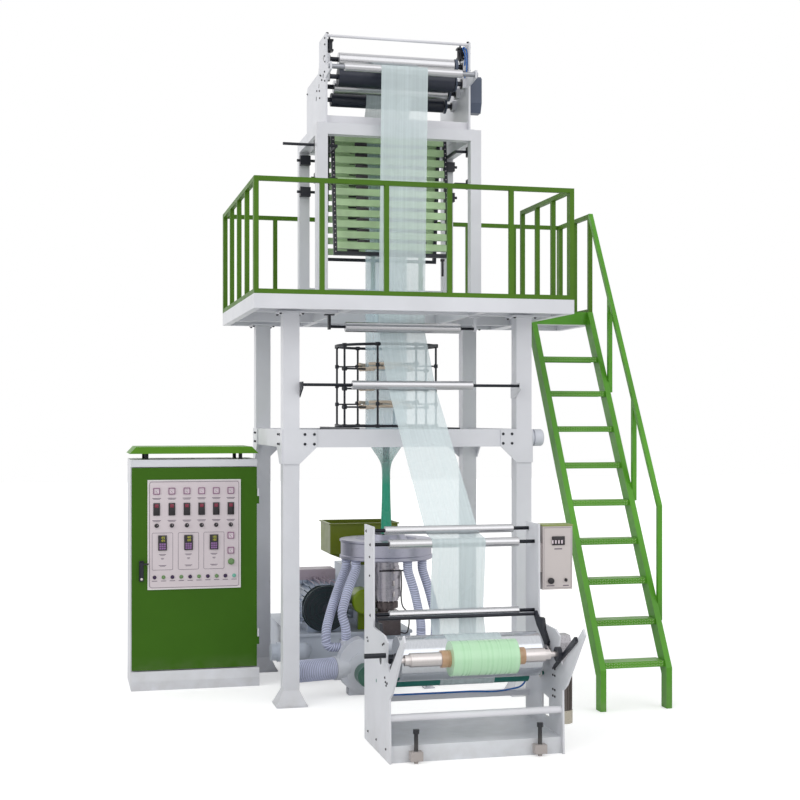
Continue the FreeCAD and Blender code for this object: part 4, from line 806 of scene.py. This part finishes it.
cage = {"radius": 332.0, "bubble": 138.0, "tiers": (1835.0, 1955.0, 2085.0), "length": 176.0, "roller": 10.0}
arms, turned = [], []
for i in (1, 3, 5, 7):
    angle = math.radians(22.5 + 45 * i)
    out = Vector((math.cos(angle), math.sin(angle), 0))
    along = Matrix.Rotation(angle, 4, "Z")
    for z in cage["tiers"]:
        inner = cage["bubble"] + 34
        arm = disc((0, 0, 0), 5, cage["radius"] - inner, "x", 12, 0.8)
        clamp = disc((0, 0, 0), 13, 24, "z", 20, 1.5)
        rollers = [disc((0, 0, 0), cage["roller"], cage["length"], "y", 20, 4) for side in (0, 1)]
        reach = out * (cage["radius"] + inner) / 2
        for piece, middle in ((arm, reach + Vector((0, 0, z))),
                              (clamp, out * cage["radius"] + Vector((0, 0, z))),
                              (rollers[0], out * (inner - 8) + Vector((0, 0, z + 13))),
                              (rollers[1], out * (inner - 8) + Vector((0, 0, z - 13)))):
            home = Matrix.Translation(-spot(0, 0, 0))
            piece.data.transform(Matrix.Translation(spot(*middle)) @ along @ home)
        arms += [arm, clamp]
        turned += rollers
finished(arms, "cageArms", black)
finished(turned, "cageWoodRollers", wood)
print("cage done")


# head: knobs and bearing caps; air lines of head and winder, and the die's lead

headParts = []
for s in (-1, 1):
    for y in (-345, -300):
        headParts.append(disc((s * 462, y, 4171), 9, 8, "z", 20, 1.5))
    for y, z, r in ((-285, 4024, 27), (-275, 3917, 33), (-125, 3887, 25), (-30, 3825, 25)):
        headParts.append(disc((s * 436, y, z), r, 5, "x", 32, 1))
finished(headParts, "headKnobsAndCaps", blackPlastic)


def tubeCurve(name, points, radius, material, body="frame"):
    clear()
    bpy.ops.curve.primitive_bezier_curve_add()
    line = bpy.context.object
    spline = line.data.splines[0]
    spline.bezier_points.add(len(points) - 2)
    for holder, point in zip(spline.bezier_points, points):
        holder.co = spot(*point)
        holder.handle_left_type = "AUTO"
        holder.handle_right_type = "AUTO"
    line.data.bevel_depth = radius / 1000
    line.data.bevel_resolution = 3
    line.data.use_fill_caps = True
    line.data.resolution_u = 10
    activate(line)
    bpy.ops.object.convert(target="MESH")
    return finished([bpy.context.object], name, material, body)


headLine = [(446, -300, 4152), (456, -326, 4125), (457, -338, 4050), (456, -332, 3985), (452, -305, 3950)]
headLineInner = [(440, -296, 4146), (450, -316, 4100), (449, -318, 4040), (446, -305, 4010)]
headLineShort = [(425, -268, 4130), (410, -300, 4100), (418, -312, 4050), (432, -280, 4010)]
winderLine = [(420, -1632, 330), (395, -1645, 270), (330, -1632, 244), (60, -1631, 241), (-250, -1631, 241),
              (-420, -1631, 243)]
leadLine = [(95, -30, 730), (97, -34, 640), (93, -40, 560), (100, -55, 500), (132, -62, 455), (134, -62, 345),
            (124, -62, 326), (80, -62, 330)]
tubeCurve("headAirLine", headLine, 4.5, blueTube)
tubeCurve("headAirLineInner", headLineInner, 4, blueTube)
tubeCurve("headAirLineShort", headLineShort, 3.5, blackPlastic)
tubeCurve("winderAirLine", winderLine, 5, blueTube)
tubeCurve("dieLead", leadLine, 4.5, blackPlastic)
print("air lines done")


# head: toothed wheels beside the roller faces

# wheel on the X axis, every second side face drawn out to a tooth
def toothed(centre, radius, thick, teeth=22, tall=5.0):
    clear()
    bpy.ops.mesh.primitive_cylinder_add(vertices=teeth * 2, radius=radius / 1000, depth=thick / 1000)
    wheel = bpy.context.object
    sides = [face for face in wheel.data.polygons if len(face.vertices) == 4]
    for face in wheel.data.polygons:
        face.select = False
    for edge in wheel.data.edges:
        edge.select = False
    for vertex in wheel.data.vertices:
        vertex.select = False
    for face in sides[::2]:
        face.select = True
    bpy.ops.object.mode_set(mode="EDIT")
    bpy.ops.mesh.select_mode(type="FACE")
    bpy.ops.mesh.extrude_region_shrink_fatten(TRANSFORM_OT_shrink_fatten={"value": tall / 1000})
    bpy.ops.object.mode_set(mode="OBJECT")
    wheel.data.transform(Matrix.Translation(spot(*centre)) @ turns["x"])
    soften(wheel, 0.0008, 1, 50)
    return wheel


wheels = {"press": (-285, 4024, 44), "rubber": (-275, 3917, 47), "steel": (-125, 3887, 47),
          "guide": (-30, 3825, 45)}
for name, (y, z, radius) in wheels.items():
    finished([toothed((394, y, z), radius, 12), disc((404, y, z), radius * 0.5, 10, "x", 28, 1.5)],
             name + "Wheel", gearCase, "head_" + name + "_roller_body")
print("head wheels done")


# stair: raised strokes on the treads and their lips

tread = {"first": 284.0, "rise": 234.1, "count": 9, "knee": 245.0, "foot": -1245.0,
         "angle": math.radians(60.13), "pitch": 17.0, "left": 1055.0, "right": 1433.0}
clear()
bpy.ops.mesh.primitive_cube_add(size=1)
stroke = bpy.context.object
stroke.scale = (0.014, 0.0035, 0.0016)
applyAll(stroke)
bpy.ops.object.mode_set(mode="EDIT")
bpy.ops.mesh.select_all(action="SELECT")
bpy.ops.mesh.bevel(offset=0.0007, segments=1)
bpy.ops.object.mode_set(mode="OBJECT")
places = []
for i in range(tread["count"]):
    z = tread["first"] + i * tread["rise"]
    front = tread["foot"] + (z - tread["knee"]) / math.tan(tread["angle"]) + 8
    for k in range(int((tread["right"] - tread["left"]) / tread["pitch"])):
        x = tread["left"] + (k + 0.6) * tread["pitch"]
        slant = Matrix.Rotation(math.radians(45 if k % 2 else -45), 4, "Z")
        for drop in (9, 25):
            places.append(Matrix.Translation(spot(x, front - 0.4, z - drop)) @ facing["-y"] @ slant)
        for depth in (14, 34, 54, 74, 94):
            places.append(Matrix.Translation(spot(x + depth % 4 * 2, front + depth, z + 0.4)) @ slant)
finished(copies(stroke, places), "treadStrokes", strokePaint)
print("tread strokes done")


# extruder: the drive motor's fan grille, clamps of the heater bands, bolt through the die

motorFan = (-389, 80, 480)
extras = [disc((motorFan[0], motorFan[1] - 1, motorFan[2]), 26, 6, "y", 32, 1.5)]
for radius in (50, 80, 110, 138):
    clear()
    bpy.ops.mesh.primitive_torus_add(major_radius=radius / 1000, minor_radius=0.003, major_segments=48,
                                     minor_segments=8)
    ring = bpy.context.object
    bpy.ops.object.shade_smooth()
    ring.data.transform(Matrix.Translation(spot(*motorFan)) @ Matrix.Rotation(math.radians(90), 4, "X"))
    extras.append(ring)
for k in range(6):
    arm = block((-1.8, -1, 20), (1.8, 1, 142), 0)
    arm.data.transform(Matrix.Translation(-shift))
    arm.data.transform(Matrix.Translation(spot(*motorFan)) @ Matrix.Rotation(math.radians(60 * k), 4, "Y"))
    extras.append(arm)
finished(extras, "fanGrille", black)

clamps = []
for z in (586, 656, 736):
    for angle in (200, 290):
        a = math.radians(angle)
        clamps.append(disc((94 * math.cos(a), 94 * math.sin(a), z), 6, 34, "z", 16, 1))
for k in range(12):
    a = math.radians(30 * k)
    clamps.append(disc((68 * math.cos(a), 68 * math.sin(a), 536), 5, 14, "z", 6, 0.6))
finished(clamps, "bandClamps", turnedSteel)
finished([disc((10, -94, 742), 7, 16, "y", 16, 1), block((-62, -108, 737), (96, -99, 747), 2),
          disc((102, -104, 742), 12, 16, "x", 20, 2), disc((-64, -104, 742), 7, 10, "x", 16, 2)],
         "dieBolt", blackPlastic)
print("extruder details done")


# winder: face of the control box, bearing covers of the drum and the rubber roller

boxFace = {"left": 467.0, "right": 638.0, "low": 804.0, "high": 1151.0, "front": -1766.0}


# plate on the control box, its middle at u across and v down the face
def boxPlate(u, v, wide, high, thick, edge=0.6, proud=0.0):
    x = boxFace["left"] + u * (boxFace["right"] - boxFace["left"])
    z = boxFace["high"] - v * (boxFace["high"] - boxFace["low"])
    y = boxFace["front"] - proud
    return block((x - wide / 2, y - thick, z - high / 2), (x + wide / 2, y, z + high / 2), edge)


def boxKnob(u, v, radius, depth):
    x = boxFace["left"] + u * (boxFace["right"] - boxFace["left"])
    z = boxFace["high"] - v * (boxFace["high"] - boxFace["low"])
    return disc((x, boxFace["front"] - depth / 2, z), radius, depth, "y", 28, 2)


finished([boxPlate(0.52, 0.23, 74, 48, 6, 1.5), boxKnob(0.26, 0.86, 17, 18), boxKnob(0.78, 0.855, 9, 6),
          boxPlate(0.76, 0.845, 5, 16, 18, 1.5)], "boxControls", blackPlastic)
finished([boxPlate(0.32 + 0.105 * k, 0.248, 9, 19, 0.6, 0, 6) for k in range(4)], "boxDigits", meterFace)
finished([boxPlate(0.52, 0.36, 44, 6, 0.5, 0), boxPlate(0.26, 0.94, 46, 5, 0.5, 0),
          boxPlate(0.78, 0.94, 34, 5, 0.5, 0)]
         + [boxPlate(0.5, v, 156, 1.4, 0.5, 0) for v in (0.025, 0.975)]
         + [boxPlate(u, 0.5, 1.4, 330, 0.5, 0) for u in (0.04, 0.96)], "boxMarks", labelGrey)
covers = []
for s in (-1, 1):
    x = winder["middle"] + s * winder["bearing"]
    covers.append(disc((x, -1956, 494), 42, 8, "x", 32, 1.5))
    covers.append(disc((x, -1857.9, 368.5), 24, 8, "x", 32, 1.5))
finished(covers, "winderBearings", turnedSteel)
print("winder details done")


# floor, lights and camera

clear()
bpy.ops.mesh.primitive_plane_add(size=60, location=(0, 0, -0.0005))
floor = bpy.context.object
floor.name = "floor"
material, parts, links, shader = treeOf("paleFloor")
shader.inputs["Base Color"].default_value = (0.80, 0.80, 0.80, 1)
shader.inputs["Roughness"].default_value = 0.9
shader.inputs["Specular IOR Level"].default_value = 0.1
rays = parts.new("ShaderNodeLightPath")
glow = parts.new("ShaderNodeMath")
glow.operation = "MULTIPLY"
glow.inputs[1].default_value = 0.42
links.new(rays.outputs["Is Camera Ray"], glow.inputs[0])
shader.inputs["Emission Color"].default_value = (1, 1, 1, 1)
links.new(glow.outputs[0], shader.inputs["Emission Strength"])
floor.data.materials.append(material)

world = bpy.data.worlds.new("studio")
bpy.context.scene.world = world
world.use_nodes = True
parts, links = world.node_tree.nodes, world.node_tree.links
background = parts["Background"]
rays = parts.new("ShaderNodeLightPath")
first = parts.new("ShaderNodeMath")
first.operation = "MAXIMUM"
links.new(rays.outputs["Is Camera Ray"], first.inputs[0])
links.new(rays.outputs["Is Glossy Ray"], first.inputs[1])
second = parts.new("ShaderNodeMath")
second.operation = "MAXIMUM"
links.new(first.outputs[0], second.inputs[0])
links.new(rays.outputs["Is Transmission Ray"], second.inputs[1])
strength = ranged(parts, links, second.outputs[0], 0.80, 1.0, 0.0, 1.0)
background.inputs["Color"].default_value = (1, 1, 1, 1)
links.new(strength, background.inputs["Strength"])

lamps = {"left": ((-1.0, -0.45, 0.75), 0.70, 0.9), "front": ((0.45, -1.0, 0.6), 0.45, 0.9)}
for name, (towards, power, angle) in lamps.items():
    clear()
    bpy.ops.object.light_add(type="SUN", location=Vector(towards) * 8)
    lamp = bpy.context.object
    lamp.name = name + "Lamp"
    lamp.data.energy = power
    lamp.data.angle = angle
    lamp.rotation_euler = Vector(towards).to_track_quat("Z", "Y").to_euler()

eye = {"place": (-2.0854, -8.9226, 1.7407), "turn": 13.73, "lens": 62.22, "rise": 0.0231}
clear()
bpy.ops.object.camera_add(location=Vector(eye["place"]) + shift,
                          rotation=(math.radians(90), 0, math.radians(-eye["turn"])))
camera = bpy.context.object
camera.data.sensor_width = 36
camera.data.lens = eye["lens"]
camera.data.shift_y = eye["rise"]
camera.data.clip_end = 200
bpy.context.scene.camera = camera
bpy.context.scene.view_settings.view_transform = "Standard"
print("stage set")
